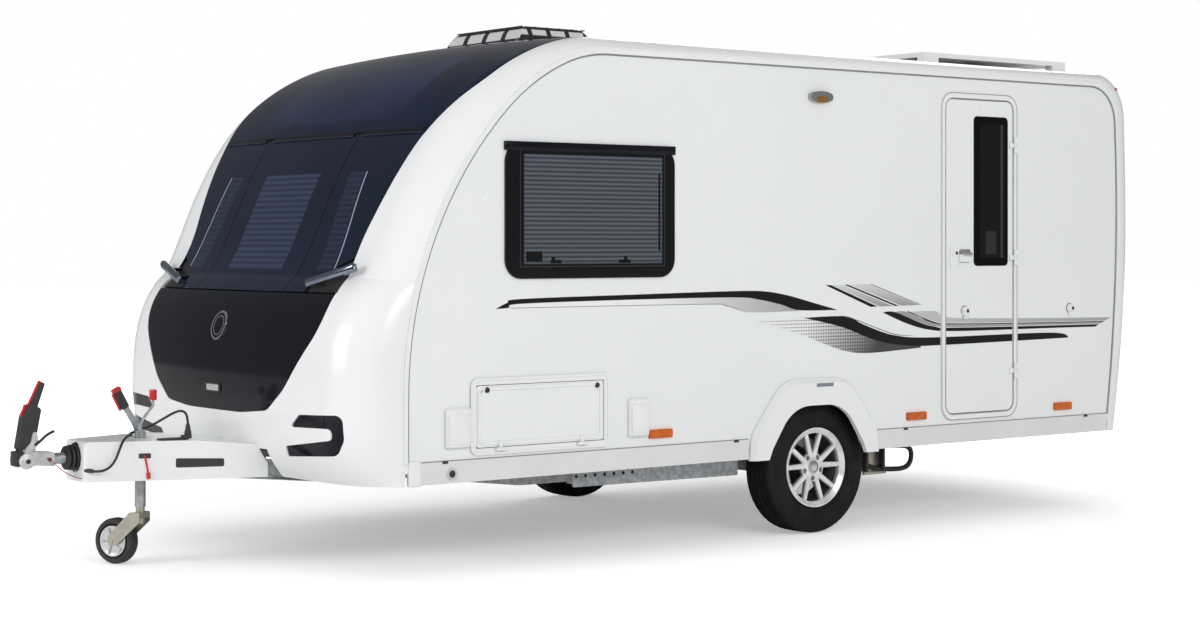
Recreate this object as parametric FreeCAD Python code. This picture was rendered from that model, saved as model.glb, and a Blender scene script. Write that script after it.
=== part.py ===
import FreeCAD, Part
import math
import os
from FreeCAD import Vector as V

# A single-axle touring caravan. x runs forward from the axle, y to the left (the door side) and
# z up from the ground. save() shifts x so that the origin lies under the middle of the whole.

# ---- body -------------------------------------------------------------------------------------
HALF_WIDTH = 1125.0       # outer face of a side wall
WALL = 28.0               # side walls, roof and mouldings
RAIL_HEIGHT = 2328.0      # where the roof meets the sides
FRONT_X = 2474.0          # foremost point of the sides
REAR_CORNER_X = -1990.0   # where the flat roof edge turns down
FLOOR_Z = 455.0           # underside of the floor, and foot of the side walls
FLOOR_THICK = 42.0
EDGE_COVER = 20.0         # how far the mouldings reach over the edge of the sides
FRONT_ARCS = ((640.0, 23.0), (1050.0, 22.0), (1800.0, 45.0))    # radius, turn, from the roof down
REAR_ARCS = ((230.0, 86.5), (8000.0, 14.0))
MOULDING_FOOT = 400.0
ROOF_FRONT_X = 1300.0     # joint of the roof with the front moulding
ROOF_REAR_X = -1880.0     # and with the rear moulding
FLANK = 300.0             # how far the lofted sections run in from the sides

# section stations: lean of the side outline from upright (or None and a height), angle of the
# section's plane, reach from the side outline to the middle, the crown's edge in from the side, its drop
FRONT_LOW = (
    (None, 380.0, 0.0, 170.0, 295.0, 34.0),
    (None, 550.0, 2.0, 280.0, 245.0, 42.0),
    (None, 790.0, 0.0, 300.0, 225.0, 50.0),
    (8.6, None, 4.0, 284.0, 225.0, 48.0),
    (13.2, None, 6.0, 236.0, 220.0, 42.0),
    (15.6, None, 9.0, 178.0, 210.0, 40.0),
)
FRONT_HIGH = (
    (15.6, None, 9.0, 178.0, 210.0, 40.0),
    (21.5, None, 12.0, 141.0, 195.0, 36.0),
    (31.0, None, 23.0, 146.0, 185.0, 34.0),
    (42.0, None, 40.0, 148.0, 175.0, 32.0),
    (56.0, None, 56.0, 112.0, 155.0, 28.0),
    (72.0, None, 75.0, 84.0, 135.0, 24.0),
)
ROOF_REACH = 77.0
ROOF_CROWN = 125.0
ROOF_DROP = 22.0
REAR_FORM = (161.0, 237.0, 155.0, 70.0)           # the same section all round the rear corner
REAR_CORNER_TURNS = (0.0, 17.0, 34.0, 51.0, 68.0, 86.5)
REAR_LOW = (                                     # turn of the side outline, then as above
    (86.5,) + REAR_FORM,
    (90.0,) + REAR_FORM,
    (93.5, 163.0, 233.0, 150.0, 68.0),
    (97.0, 168.0, 215.0, 145.0, 64.0),
    (100.0, 172.0, 190.0, 135.0, 56.0),
)

# ---- front panels -----------------------------------------------------------------------------
SEAM_Z = 1222.0           # joint of the gas locker lid with the windows
SKYLIGHT_SEAM_Z = 1940.0
PANEL_GAP = 0.5           # glazed panels in their rebates
SEAT_GAP = 0.3            # between curved pieces that sit on each other
LID_GAP = 5.0
PANE_GAP = 5.0
PANE_HALF = 410.0         # half-width of the middle front pane
LID_FOOT = 680.0
LOCKER_HALF = HALF_WIDTH - 257.0                          # gas locker box
LOCKER_BACK_X = 2270.0
LOCKER_SKIN = 8.0

# ---- running gear -----------------------------------------------------------------------------
WHEEL_R = 325.0
TYRE_W = 188.0
RIM_R = 197.0             # rim flange
BEAD_R = 178.0
WHEEL_FACE_Y = 1050.0     # outer edge of the rim
RIM_W = 165.0
AXLE_TUBE_X = 150.0
AXLE_TUBE_Z = 345.0
AXLE_TUBE_R = 55.0
RAIL_Y = 600.0            # middle of a chassis rail
RAIL_FLANGE = 55.0
RAIL_SKIN = 4.0

# ---- hitch ------------------------------------------------------------------------------------
BALL_X = 3670.0
BALL_Z = 500.0
BALL_R = 25.2
COUPLING_NOSE = 65.0
JOCKEY_X = 3133.0

REAR_REACH = 2455.0
ORIGIN_X = (BALL_X + COUPLING_NOSE - REAR_REACH) / 2.0

# ---- openings in the sides --------------------------------------------------------------------
# side (+1 left), x range, z range, corner radius
WINDOWS = (
    (1, (978.0, 1940.0), (1279.0, 1880.0), 85.0),
    (-1, (978.0, 1940.0), (1279.0, 1880.0), 85.0),
    (-1, (-250.0, 600.0), (1420.0, 1880.0), 70.0),
    (-1, (-1950.0, -1450.0), (1480.0, 1880.0), 60.0),
)
AWNING_RAIL = (10.0, 30.0, 8.0)     # insets of the strip's edges from the outline, and its height
EDGE_SEAL = (30.3, 38.0, 3.0)
WINDOW_LAP = 14.0         # the pane's edge over the wall
PANE_THICK = 10.0
FACE = HALF_WIDTH         # outer face of the left wall
INNER_FACE = HALF_WIDTH - WALL
FRAME_PROUD = 6.0
FRAME_LAP = 12.0
LEAF_GAP = 3.0
HINGE_OUT = 16.0          # hinge pins from the wall's face
HINGE_IN = 7.0            # and from the frame's inner edge
HINGE_R = 9.0
PIN_R = 3.0
DOOR_X = (-1387.0, -804.0)
DOOR_Z = (516.0, RAIL_HEIGHT - 107.0)
DOOR_FRAME = 36.0
DOOR_R = 85.0
FLAP_R = 26.0
DOOR_WINDOW = ((-1311.0, -1050.0), (1317.0, 2100.0))
DOOR_HINGES_Z = (761.0, 1360.0, 1954.0)
# side, x range, z range, frame width, hinge edge
FLAPS = {
    "side_locker_door": (1, (1369.0, 2115.0), (521.0, 840.0), 22.0, "foot"),
    "cassette_door": (-1, (-1560.0, -1120.0), (560.0, 900.0), 22.0, "rear"),
}
SPAT_X = 85.0             # middle of the wheel arch, ahead of the axle
SPAT_PROUD = 38.0
# half outlines of the spat and of its arch: from the middle, z, corner radius
SPAT = ((430.0, 394.0, 0.0), (420.0, 516.0, 150.0), (214.0, 775.0, 170.0))
ARCH = ((326.0, 394.0, 0.0), (304.0, 446.0, 120.0), (170.0, 644.0, 210.0))
ARCH_LAP = 22.0           # the wall's cut-out behind the spat
SKIRT_Z = (402.0, 497.0)
SKIRT_PROUD = 6.0
WHEEL_BOX_X = (SPAT_X - 437.0, SPAT_X + 347.0)
WHEEL_BOX_Y = 838.0
WHEEL_BOX_TOP = 722.0
WHEEL_BOX_SKIN = 8.0

# ---- panels and roof fittings -----------------------------------------------------------------
# half outlines of the dark front and of the gas locker lid: in from the side, z, corner radius
DARK = ((287.0, SEAM_Z, 0.0), (339.0, 1410.0, 420.0), (220.0, 1890.0, 500.0), (115.0, 2160.0, 200.0),
        (115.0, 2600.0, 0.0))
LID = ((875.0, LID_FOOT, 900.0), (651.0, 700.0, 90.0), (515.0, 800.0, 300.0), (292.0, 1075.0, 260.0),
       (292.0, SEAM_Z, 0.0))
# outlines on one side of the front: the handle recess, and the insert that wraps the bumper's tongue
RECESS = ((540.0, SEAM_Z, 0.0), (287.0, SEAM_Z, 0.0), (329.0, 1372.0, 0.0), (435.0, 1330.0, 40.0),
          (525.0, 1272.0, 30.0))
RECESS_DEPTH = 14.0
HANDLE_ENDS = ((507.0, 1262.0, 50.3), (213.0, 1333.0, 72.5))     # in from the side, z, out of the recess
INSERT = ((535.0, 506.0, 8.0), (165.0, 532.0, 60.0), (122.0, 600.0, 60.0), (122.0, 708.0, 34.0),
          (403.0, 697.0, 40.0), (470.0, 640.0, 8.0), (181.0, 648.0, 22.0), (187.0, 598.0, 20.0),
          (527.0, 553.0, 8.0))
INSERT_DEPTH = 12.0
INSERT_THICK = 6.0
REAR_LAMP = ((HALF_WIDTH - 245.0, HALF_WIDTH - 95.0), (880.0, 1330.0))    # y, z of a lamp cluster
REAR_LAMP_PROUD = 14.0
HIGH_LAMP = (-2236.0, HALF_WIDTH - 53.0, RAIL_HEIGHT - 78.0)              # a high marker's middle
HIGH_LAMP_TURN = 122.0
ROOFLIGHT_X = (832.0, 1288.0)
ROOFLIGHT_Y = 330.0
ROOFLIGHT_TOP = RAIL_HEIGHT + 172.0
ROOFLIGHT_SKIN = 6.0
ROOFLIGHT_FRAME = 30.0
ROOFLIGHT_FOOT = RAIL_HEIGHT + 100.0                      # joint of the dome with its frame
SOLAR_X = (-2100.0, -970.0)
SOLAR_Y = (180.0, 850.0)
SOLAR_Z = (RAIL_HEIGHT + 97.0, RAIL_HEIGHT + 122.0)
SOLAR_FOOT = (110.0, 50.0)

# ---- trim on the sides ------------------------------------------------------------------------
LAMPS_X = ((992.0, 1129.0), (-693.0, -555.0), (-1817.0, -1678.0))
LAMP_Z = (535.0, 575.0)
OUTLETS = ((1, (2126.0, 2256.0), (553.0, 725.0)), (1, (1135.0, 1253.0), (547.0, 725.0)),
           (-1, (1240.0, 1370.0), (553.0, 725.0)))
AWNING_LAMP = ((-85.0, 190.0), (RAIL_HEIGHT - 208.0, RAIL_HEIGHT - 140.0))
VENTS = (((-170.0, 270.0), (800.0, 1010.0)), ((-170.0, 270.0), (1110.0, 1320.0)))

# ---- chassis ----------------------------------------------------------------------------------
RAIL_X = (-2150.0, 2330.0)
# lower edge of a rail: x, z
RAIL_FOOT = ((2330.0, 400.0), (1500.0, 300.0), (-500.0, 300.0), (-1100.0, 395.0), (-2150.0, 400.0))
RAIL_HOLES_X = (620.0, 740.0, 860.0, 980.0, 1100.0, 1220.0, 1340.0)
DRAWBAR_SLOT = 430.0
DRAWBAR_SLOT_TOP = 526.0
SKYLIGHT_TOP_X = 1405.0
FLOOR_FRONT_X = 2400.0
DRAWBAR_W = 40.0
CROSS_X = (2180.0, 1250.0, -450.0, -1950.0)
CROSS_W = 50.0
HOUSING_HALF = 42.0       # overrun housing, held between the drawbars
DRAWBAR = ((3405.0, HOUSING_HALF + DRAWBAR_W / 2.0, 485.0),           # ends: x, y, z
           (CROSS_X[0] + CROSS_W / 2.0, RAIL_Y - RAIL_FLANGE / 2.0 - DRAWBAR_W / 2.0, 392.0))
DRAWBAR_H = 90.0

# ---- wheels -----------------------------------------------------------------------------------
SPOKE_PAIRS = 5
SPOKE_SPREAD = 14.5       # half the angle between the spokes of a pair
BOLT_CIRCLE_R = 56.0

# ---- jockey wheel, fairing and cables ---------------------------------------------------------
TUBE_R = 24.0
CLAMP_R = 24.5
LEG_Z = (262.0, 600.0)    # jockey wheel's outer tube
STEM_R = 20.0
STEM_FOOT = 186.0
JOCKEY_R = 102.5
JOCKEY_W = 60.0
CASTER = 130.0            # wheel's axle from the stem
JOCKEY_TURN = -63.0       # where the caster points, from straight ahead
FAIRING_Z = (397.0, 572.0)
FAIRING_REAR_X = 2700.0
DRAWTUBE_R = 25.0
FAIRING_NOSE = (3445.0, 98.0)                             # x, half-width
FAIRING_REAR_HALF = 380.0
FAIRING_SKIN = 5.0
# step in the fairing's side, for a plate: x, z, corner radius
STEP_POCKET = ((2880.0, 450.0, 8.0), (3078.0, 450.0, 8.0), (3078.0, 492.0, 8.0), (2880.0, 486.0, 8.0))
STEP_DEPTH = 3.0
STEP_PLATE = 2.0
LEVER_SHIFT = (-22.0, -28.0)                              # handbrake lever from the jockey tube's plane
FLAP_X = (3000.0, 3130.0)                                 # flap with the plug holder on the fairing
FLAP_Y = (150.0, 214.0)
PLUG_PLACE = (3002.0, 203.0)
PLUG_R = 15.5
PLUG_NECK_R = 8.0
PLUG_TOP = 638.0
GLAND_R = 8.0
GLAND_LENGTH = 26.0
CABLE_D = 11.0
# route of the electric cable, from its gland on the fairing round the jockey tube to its plug
CABLE_ROUTE = (
    (3416.0, 125.0, 447.0), (3404.0, 148.0, 446.0), (3380.0, 168.0, 452.0), (3354.0, 178.0, 470.0),
    (3334.0, 183.0, 502.0), (3319.0, 185.0, 542.0), (3296.0, 172.0, 578.0), (3260.0, 138.0, 592.0),
    (3224.0, 94.0, 590.0), (3198.0, 48.0, 587.0), (3184.0, 4.0, 585.0), (3168.0, -32.0, 586.0),
    (3142.0, -55.0, 590.0), (3110.0, -58.0, 598.0), (3083.0, -40.0, 609.0), (3066.0, -6.0, 624.0),
    (3053.0, 38.0, 644.0), (3039.0, 80.0, 665.0), (3025.0, 118.0, 683.0), (3013.0, 152.0, 693.0),
    (3005.0, 181.0, 688.0), (3002.0, 199.0, 666.0), (3002.0, 203.0, 638.8),
)
BREAKAWAY_D = 4.0
# route of the breakaway cable, from the fairing's nose to the coupling's neck
BREAKAWAY_ROUTE = (
    (3445.0, 72.0, 412.0), (3474.0, 68.0, 420.0), (3506.0, 62.0, 436.0), (3536.0, 58.0, 458.0),
    (3562.0, 56.0, 484.0), (3580.0, 50.0, 502.0), (3586.0, 35.3, 508.0),
)

# ---- corner steadies --------------------------------------------------------------------------
STEADY_LENGTH = 400.0
STEADY_Z = 412.0
# name, pivot x, side, direction of the folded leg
STEADIES = (
    ("steady_front_left", 2130.0, 1, -1),
    ("steady_front_right", 2130.0, -1, -1),
    ("steady_rear_left", -1980.0, 1, 1),
    ("steady_rear_right", -1980.0, -1, 1),
)
STEADY_Y = 800.0

saved = {}


def save(node, *shapes):
    """Write one node, moved so that the origin is under the middle of the caravan."""
    solids = [solid for shape in shapes for solid in shape.Solids]
    whole = Part.makeCompound(solids) if len(solids) > 1 else solids[0].copy()
    whole.translate(V(-ORIGIN_X, 0, 0))
    whole.exportStep("parts/" + node + ".step")
    saved[node] = len(solids)


# ---- shape helpers ----------------------------------------------------------------------------
def box(x, y, z):
    """A box from three (low, high) pairs."""
    return Part.makeBox(x[1] - x[0], y[1] - y[0], z[1] - z[0], V(x[0], y[0], z[0]))


def mirrored(shape):
    return shape.mirror(V(0, 0, 0), V(0, 1, 0))


def both(shape):
    return Part.makeCompound([shape, mirrored(shape)])


def rod(start, end, radius, end_radius=None):
    start, end = V(*start), V(*end)
    along = end.sub(start)
    if end_radius is None:
        return Part.makeCylinder(radius, along.Length, start, along)
    return Part.makeCone(radius, end_radius, along.Length, start, along)


PLANES = {
    "xz": lambda a, b, level: V(a, level, b),
    "yz": lambda a, b, level: V(level, a, b),
    "xy": lambda a, b, level: V(a, b, level),
}


def outline(corners, plane, level=0.0):
    """Closed wire through (a, b, corner radius) points on one of the main planes."""
    place = PLANES[plane]
    count = len(corners)
    starts, edges = [], []
    for i, corner in enumerate(corners):
        a, b = corner[0], corner[1]
        radius = corner[2] if len(corner) > 2 else 0.0
        before, after = corners[i - 1], corners[(i + 1) % count]
        here = V(a, b, 0)
        u = V(before[0] - a, before[1] - b, 0).normalize()
        w = V(after[0] - a, after[1] - b, 0).normalize()
        if radius <= 0:
            starts.append((here, here, None))
            continue
        half = u.getAngle(w) / 2.0
        reach = radius / math.tan(half)
        middle = here + (u + w).normalize() * (radius / math.sin(half) - radius)
        starts.append((here + u * reach, here + w * reach, middle))
    for i, (begin, finish, middle) in enumerate(starts):
        if middle is not None:
            points = [place(p.x, p.y, level) for p in (begin, middle, finish)]
            edges.append(Part.Arc(*points).toShape())
        following = starts[(i + 1) % count][0]
        if finish.distanceToPoint(following) > 1e-6:
            line = Part.LineSegment(place(finish.x, finish.y, level), place(following.x, following.y, level))
            edges.append(line.toShape())
    return Part.Wire(edges)


NORMALS = {"xz": V(0, 1, 0), "yz": V(1, 0, 0), "xy": V(0, 0, 1)}


def prism(corners, plane, low, high):
    """Extrude an outline from one level to another along the plane's normal."""
    return Part.Face(outline(corners, plane, low)).extrude(NORMALS[plane] * (high - low))


def rectangle(a, b, radius=0.0):
    """Corners of a rectangle with rounded corners from two (low, high) pairs."""
    return [(a[0], b[0], radius), (a[1], b[0], radius), (a[1], b[1], radius), (a[0], b[1], radius)]


def grown(a, amount):
    """A (low, high) pair made longer at both ends."""
    return (a[0] - amount, a[1] + amount)


def inset(corners, gap):
    """Move a convex or nearly convex outline in by gap (out if negative)."""
    count = len(corners)
    area = sum(corners[i - 1][0] * corners[i][1] - corners[i][0] * corners[i - 1][1] for i in range(count))
    way = 1.0 if area > 0 else -1.0
    moved = []
    for i, (a, b, radius) in enumerate(corners):
        before, after = corners[i - 1], corners[(i + 1) % count]
        u = V(a - before[0], b - before[1], 0).normalize()
        w = V(after[0] - a, after[1] - b, 0).normalize()
        inward_u, inward_w = V(-u.y, u.x, 0) * way, V(-w.y, w.x, 0) * way
        shift = (inward_u + inward_w) * (gap / (1.0 + inward_u.dot(inward_w)))
        turn = way * (u.x * w.y - u.y * w.x)
        moved.append((a + shift.x, b + shift.y, max(radius - gap, 0.0) if turn > 0 else radius))
    return moved


def from_side(outline):
    """Outline points from rows of how far in from the side, z and radius."""
    return [(HALF_WIDTH - edge, z, radius) for edge, z, radius in outline]


def mirror_outline(half):
    """Close a half outline of (y, z, radius) points with its mirror image."""
    return list(half) + [(-p[0],) + tuple(p[1:]) for p in reversed(half)]


# ---- side outline -----------------------------------------------------------------------------
def arc_chain(sign, arcs, x, inset=0.0):
    """Arcs of the side outline from the roof edge down, as (centre x, centre z, radius, turns)."""
    chain = []
    z = RAIL_HEIGHT
    turned = 0.0
    for radius, turn in arcs:
        lean = math.radians(turned)
        cx = x - sign * radius * math.sin(lean)
        cz = z - radius * math.cos(lean)
        chain.append((cx, cz, radius - inset, turned, turned + turn))
        turned += turn
        x = cx + sign * radius * math.sin(math.radians(turned))
        z = cz + radius * math.cos(math.radians(turned))
    return chain


def on_chain(sign, chain, turned):
    """Point of an arc chain where the outline has turned so far from the roof line."""
    for cx, cz, radius, _, finish in chain:
        if turned <= finish + 1e-9:
            break
    angle = math.radians(turned)
    return cx + sign * radius * math.sin(angle), cz + radius * math.cos(angle)


FRONT_RUN = on_chain(1, arc_chain(1, FRONT_ARCS, 0.0), 90.0)[0]
ROOF_EDGE_X = FRONT_X - FRONT_RUN


def front_chain(inset=0.0):
    return arc_chain(1, FRONT_ARCS, ROOF_EDGE_X, inset)


def rear_chain(inset=0.0):
    return arc_chain(-1, REAR_ARCS, REAR_CORNER_X, inset)


def side_outline(y, inset, foot):
    """Closed wire of the caravan's side, its edges moved in by inset, cut off level at foot."""
    edges = []
    last = None
    foot_turn = None
    front = front_chain(inset)
    rear = rear_chain(inset)
    start = V(FRONT_X - inset, y, foot)
    last = start
    for cx, cz, radius, begin, finish in reversed(front):
        points = []
        for turned in (finish, (begin + finish) / 2.0, begin):
            x, z = on_chain(1, [(cx, cz, radius, begin, finish)], turned)
            points.append(V(x, y, z))
        if last.distanceToPoint(points[0]) > 1e-6:
            edges.append(Part.LineSegment(last, points[0]).toShape())
        edges.append(Part.Arc(*points).toShape())
        last = points[2]
    for cx, cz, radius, begin, finish in rear:
        if cz + radius * math.cos(math.radians(finish)) < foot:
            finish = math.degrees(math.acos((foot - cz) / radius))
        points = []
        for turned in (begin, (begin + finish) / 2.0, finish):
            x, z = on_chain(-1, [(cx, cz, radius, begin, finish)], turned)
            points.append(V(x, y, z))
        if last.distanceToPoint(points[0]) > 1e-6:
            edges.append(Part.LineSegment(last, points[0]).toShape())
        edges.append(Part.Arc(*points).toShape())
        last = points[2]
    if last.z - foot > 1e-6:
        foot_turn = V(last.x, y, foot)
        edges.append(Part.LineSegment(last, foot_turn).toShape())
        last = foot_turn
    edges.append(Part.LineSegment(last, start).toShape())
    return Part.Wire(edges)


def side_slab(y, inset, foot):
    """A slab with the side outline between two y levels."""
    return Part.Face(side_outline(y[0], inset, foot)).extrude(V(0, y[1] - y[0], 0))


# ---- body shell -------------------------------------------------------------------------------
def section(x, z, slope, angle, reach, edge, drop, inset):
    """One closed body section in the plane through y and the fan angle, based on the side outline.

    slope is how far the surface has turned from level there: a slanted section needs a deeper inset.
    """
    angle = math.radians(angle)
    width = HALF_WIDTH - inset
    reach = reach - inset / max(0.3, math.sin(math.radians(slope) + angle))
    crown = HALF_WIDTH - edge - inset / 2.0
    flank = FLANK + inset

    def at(y, s):
        return V(x + s * math.cos(angle), y, z + s * math.sin(angle))

    crown_r = (crown ** 2 + drop ** 2) / (2.0 * drop)
    slope = math.asin(crown / crown_r)
    chord_y, chord_s = width - crown, reach - drop
    fall = math.atan2(chord_s, chord_y)
    sagitta = math.hypot(chord_y, chord_s) / 2.0 * math.tan((fall - slope) / 2.0)
    mid_y = crown + chord_y / 2.0 + sagitta * math.sin(fall)
    mid_s = reach - drop - chord_s / 2.0 + sagitta * math.cos(fall)
    shoulder = reach - drop
    edges = [
        Part.LineSegment(at(-width, -flank), at(-width, 0)).toShape(),
        Part.Arc(at(-width, 0), at(-mid_y, mid_s), at(-crown, shoulder)).toShape(),
        Part.Arc(at(-crown, shoulder), at(0, reach), at(crown, shoulder)).toShape(),
        Part.Arc(at(crown, shoulder), at(mid_y, mid_s), at(width, 0)).toShape(),
        Part.LineSegment(at(width, 0), at(width, -flank)).toShape(),
        Part.LineSegment(at(width, -flank), at(-width, -flank)).toShape(),
    ]
    return Part.Wire(edges)


def front_station(row, inset):
    lean, height, angle, reach, edge, drop = row
    slope = 90.0 if lean is None else 90.0 - lean
    x, z = (FRONT_X, height) if lean is None else on_chain(1, front_chain(), slope)
    return section(x, z, slope, angle, reach, edge, drop, inset)


def rear_station(row, inset):
    turned, angle, reach, edge, drop = row
    x, z = on_chain(-1, rear_chain(), turned)
    return section(x, z, -turned, angle, reach, edge, drop, inset)


def roof_section(x, inset):
    return section(x, RAIL_HEIGHT, 0.0, 90.0, ROOF_REACH, ROOF_CROWN, ROOF_DROP, inset)


def front_low(inset):
    return Part.makeLoft([front_station(row, inset) for row in FRONT_LOW], True, False, False, 3)


def front_high(inset):
    wires = [front_station(row, inset) for row in FRONT_HIGH]
    wires += [roof_section(ROOF_EDGE_X - 30.0, inset), roof_section(ROOF_FRONT_X - 60.0, inset)]
    return Part.makeLoft(wires, True, False, False, 3)


def rear_low(inset):
    return Part.makeLoft([rear_station(row, inset) for row in REAR_LOW], True, False, False, 3)


def body_form(inset):
    """The body's outer form moved in by inset, as one solid."""
    corner = [rear_station((turned,) + REAR_FORM, inset) for turned in REAR_CORNER_TURNS]
    pieces = [front_high(inset), Part.makeLoft(corner, True, False, False, 3), rear_low(inset)]
    pieces.append(Part.makeLoft([roof_section(ROOF_FRONT_X - 60.0, inset), corner[0]], True, True))
    return front_low(inset).multiFuse(pieces)


def clip(shape, x=(-4000.0, 4000.0), y=(-4000.0, 4000.0), z=(-100.0, 4000.0)):
    return shape.common(box(x, y, z))


def ring(outer, inner, plane, low, high):
    return prism(outer, plane, low, high).cut(prism(inner, plane, low - 1.0, high + 1.0))


# ---- openings in the sides --------------------------------------------------------------------


def on_side(side, shape):
    return shape if side > 0 else mirrored(shape)


def arch_outline(half, grow=0.0):
    """Close a half outline of the wheel arch about its middle."""
    left = [(SPAT_X - a - grow, b + (grow if i else 0.0), r) for i, (a, b, r) in enumerate(half)]
    right = [(SPAT_X + a + grow, b + (grow if i else 0.0), r) for i, (a, b, r) in enumerate(half)]
    return left + right[::-1]


def side_wall(side):
    wall = side_slab((INNER_FACE, FACE), EDGE_COVER + SEAT_GAP, FLOOR_Z)
    wall = wall.cut(prism(arch_outline(ARCH, ARCH_LAP), "xz", INNER_FACE - 1, FACE + 1))
    wall = wall.cut(box((SPAT_X - 326.0 - ARCH_LAP, SPAT_X + 326.0 + ARCH_LAP), (INNER_FACE - 1, FACE + 1),
                        (300.0, 395.0 + ARCH_LAP)))
    for window_side, x, z, radius in WINDOWS:
        if window_side == side:
            hole = rectangle(grown(x, -WINDOW_LAP), grown(z, -WINDOW_LAP), radius - WINDOW_LAP)
            wall = wall.cut(prism(hole, "xz", INNER_FACE - 1, FACE + 1))
    for flap_side, x, z, _, _ in FLAPS.values():
        if flap_side == side:
            wall = wall.cut(prism(lining(x, z, FLAP_R), "xz", INNER_FACE - 1, FACE + 1))
    if side > 0:
        wall = wall.cut(prism(lining(DOOR_X, DOOR_Z, DOOR_R), "xz", INNER_FACE - 1, FACE + 1))
    return on_side(side, wall)


def lining(x, z, radius):
    """Outline of a frame's lining, and of the wall's hole for it."""
    return rectangle(grown(x, -FRAME_LAP), grown(z, -FRAME_LAP), radius - FRAME_LAP)


def opening_frame(x, z, width, radius):
    """A frame lapped over the wall's face and lining its opening."""
    inner = rectangle(grown(x, -width), grown(z, -width), max(radius - width, 4.0))
    face = ring(rectangle(x, z, radius), inner, "xz", FACE, FACE + FRAME_PROUD)
    return face.fuse(ring(lining(x, z, radius), inner, "xz", INNER_FACE, FACE))


def hinge(length, seat, turn):
    """Fixed and moving halves of a hinge on a z axis at the origin, the leaf towards +x.

    seat is how far the fixed plate reaches over the frame, turn brings the hinge to its place.
    """
    third = length / 6.0 - 0.3
    frame_y = FRAME_PROUD - HINGE_OUT
    leaf_y = FRAME_PROUD - LEAF_GAP - HINGE_OUT
    pin = rod((0, 0, -length / 2), (0, 0, length / 2), PIN_R)
    fixed = pin
    for end in (-1, 1):
        low, high = sorted((end * length / 2, end * (third + 0.6)))
        fixed = fixed.fuse(rod((0, 0, low), (0, 0, high), HINGE_R))
        fixed = fixed.fuse(box((-seat, -3.0), (frame_y, frame_y + 5.0), (low, high)))
    moving = rod((0, 0, -third), (0, 0, third), HINGE_R)
    moving = moving.fuse(box((3.0, 14.0), (frame_y + 2.0, frame_y + 5.5), (-third, third)))
    moving = moving.fuse(box((HINGE_IN + LEAF_GAP + 2.0, 36.0), (leaf_y, frame_y + 5.5), (-third, third)))
    moving = moving.cut(rod((0, 0, -length), (0, 0, length), PIN_R + 0.4))
    return turn(fixed.removeSplitter()), turn(moving.removeSplitter())


def upright_hinge(x, z, length, seat):
    def turn(shape):
        shape.translate(V(x, FACE + HINGE_OUT, z))
        return shape
    return hinge(length, seat, turn)


def level_hinge(x, z, length, seat):
    def turn(shape):
        shape.rotate(V(0, 0, 0), V(0, 1, 0), -90)
        shape.translate(V(x, FACE + HINGE_OUT, z))
        return shape
    return hinge(length, seat, turn)


def entrance_door():
    """Frame with the fixed hinge halves, leaf with the moving ones, and the leaf's window."""
    frame = opening_frame(DOOR_X, DOOR_Z, DOOR_FRAME, DOOR_R)
    leaf_x = grown(DOOR_X, -DOOR_FRAME - LEAF_GAP)
    leaf_z = grown(DOOR_Z, -DOOR_FRAME - LEAF_GAP)
    leaf_face = FACE + FRAME_PROUD - LEAF_GAP
    leaf = prism(rectangle(leaf_x, leaf_z, 46.0), "xz", INNER_FACE + 2.0, leaf_face)
    hole = rectangle(DOOR_WINDOW[0], DOOR_WINDOW[1], 25.0)
    leaf = leaf.cut(prism(hole, "xz", 0, 2000))
    pane = rectangle(grown(DOOR_WINDOW[0], -PANEL_GAP), grown(DOOR_WINDOW[1], -PANEL_GAP), 24.5)
    window = prism(pane, "xz", INNER_FACE + 6.0, leaf_face + 3.0)
    plate = prism(rectangle((-1027.0, -869.0), (1317.0, 1416.0), 12.0), "xz", leaf_face, leaf_face + 5.0)
    paddle = prism(rectangle((-1010.0, -930.0), (1338.0, 1378.0), 8.0), "xz",
                   leaf_face + 5.0, leaf_face + 18.0)
    lock = rod((-895.0, leaf_face + 4.0, 1380.0), (-895.0, leaf_face + 9.0, 1380.0), 12.0)
    catch = box((-990.0, -958.0), (leaf_face - 1.0, leaf_face + 22.0), (1060.0, 1086.0))
    leaf = leaf.multiFuse([plate, paddle, lock, catch])
    fixed = []
    for z in DOOR_HINGES_Z:
        root, moving = upright_hinge(DOOR_X[0] + DOOR_FRAME - HINGE_IN, z, 80.0, 26.0)
        fixed.append(root)
        leaf = leaf.fuse(moving)
    frame = frame.multiFuse(fixed)
    return frame, leaf, window


def flap(name):
    """Frame and leaf of a locker door."""
    side, x, z, width, edge = FLAPS[name]
    frame = opening_frame(x, z, width, FLAP_R)
    leaf_x = grown(x, -width - LEAF_GAP)
    leaf_z = grown(z, -width - LEAF_GAP)
    leaf_face = FACE + FRAME_PROUD - LEAF_GAP
    leaf = prism(rectangle(leaf_x, leaf_z, 14.0), "xz", INNER_FACE + 2.0, leaf_face)
    seat = width - HINGE_IN - 2.0
    if edge == "foot":
        places = [level_hinge(at, z[0] + width - HINGE_IN, 60.0, seat) for at in (x[0] + 150.0, x[1] - 150.0)]
        locks = [(leaf_x[0] + 30.0, leaf_z[1] - 30.0), (leaf_x[1] - 30.0, leaf_z[1] - 30.0)]
    else:
        places = [upright_hinge(x[0] + width - HINGE_IN, at, 60.0, seat) for at in (z[0] + 80.0, z[1] - 80.0)]
        locks = [(leaf_x[1] - 30.0, (z[0] + z[1]) / 2.0)]
    for root, moving in places:
        frame = frame.fuse(root)
        leaf = leaf.fuse(moving)
    for at_x, at_z in locks:
        leaf = leaf.fuse(rod((at_x, leaf_face - 1.0, at_z), (at_x, leaf_face + 4.0, at_z), 11.0))
    return on_side(side, frame), on_side(side, leaf)


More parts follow.
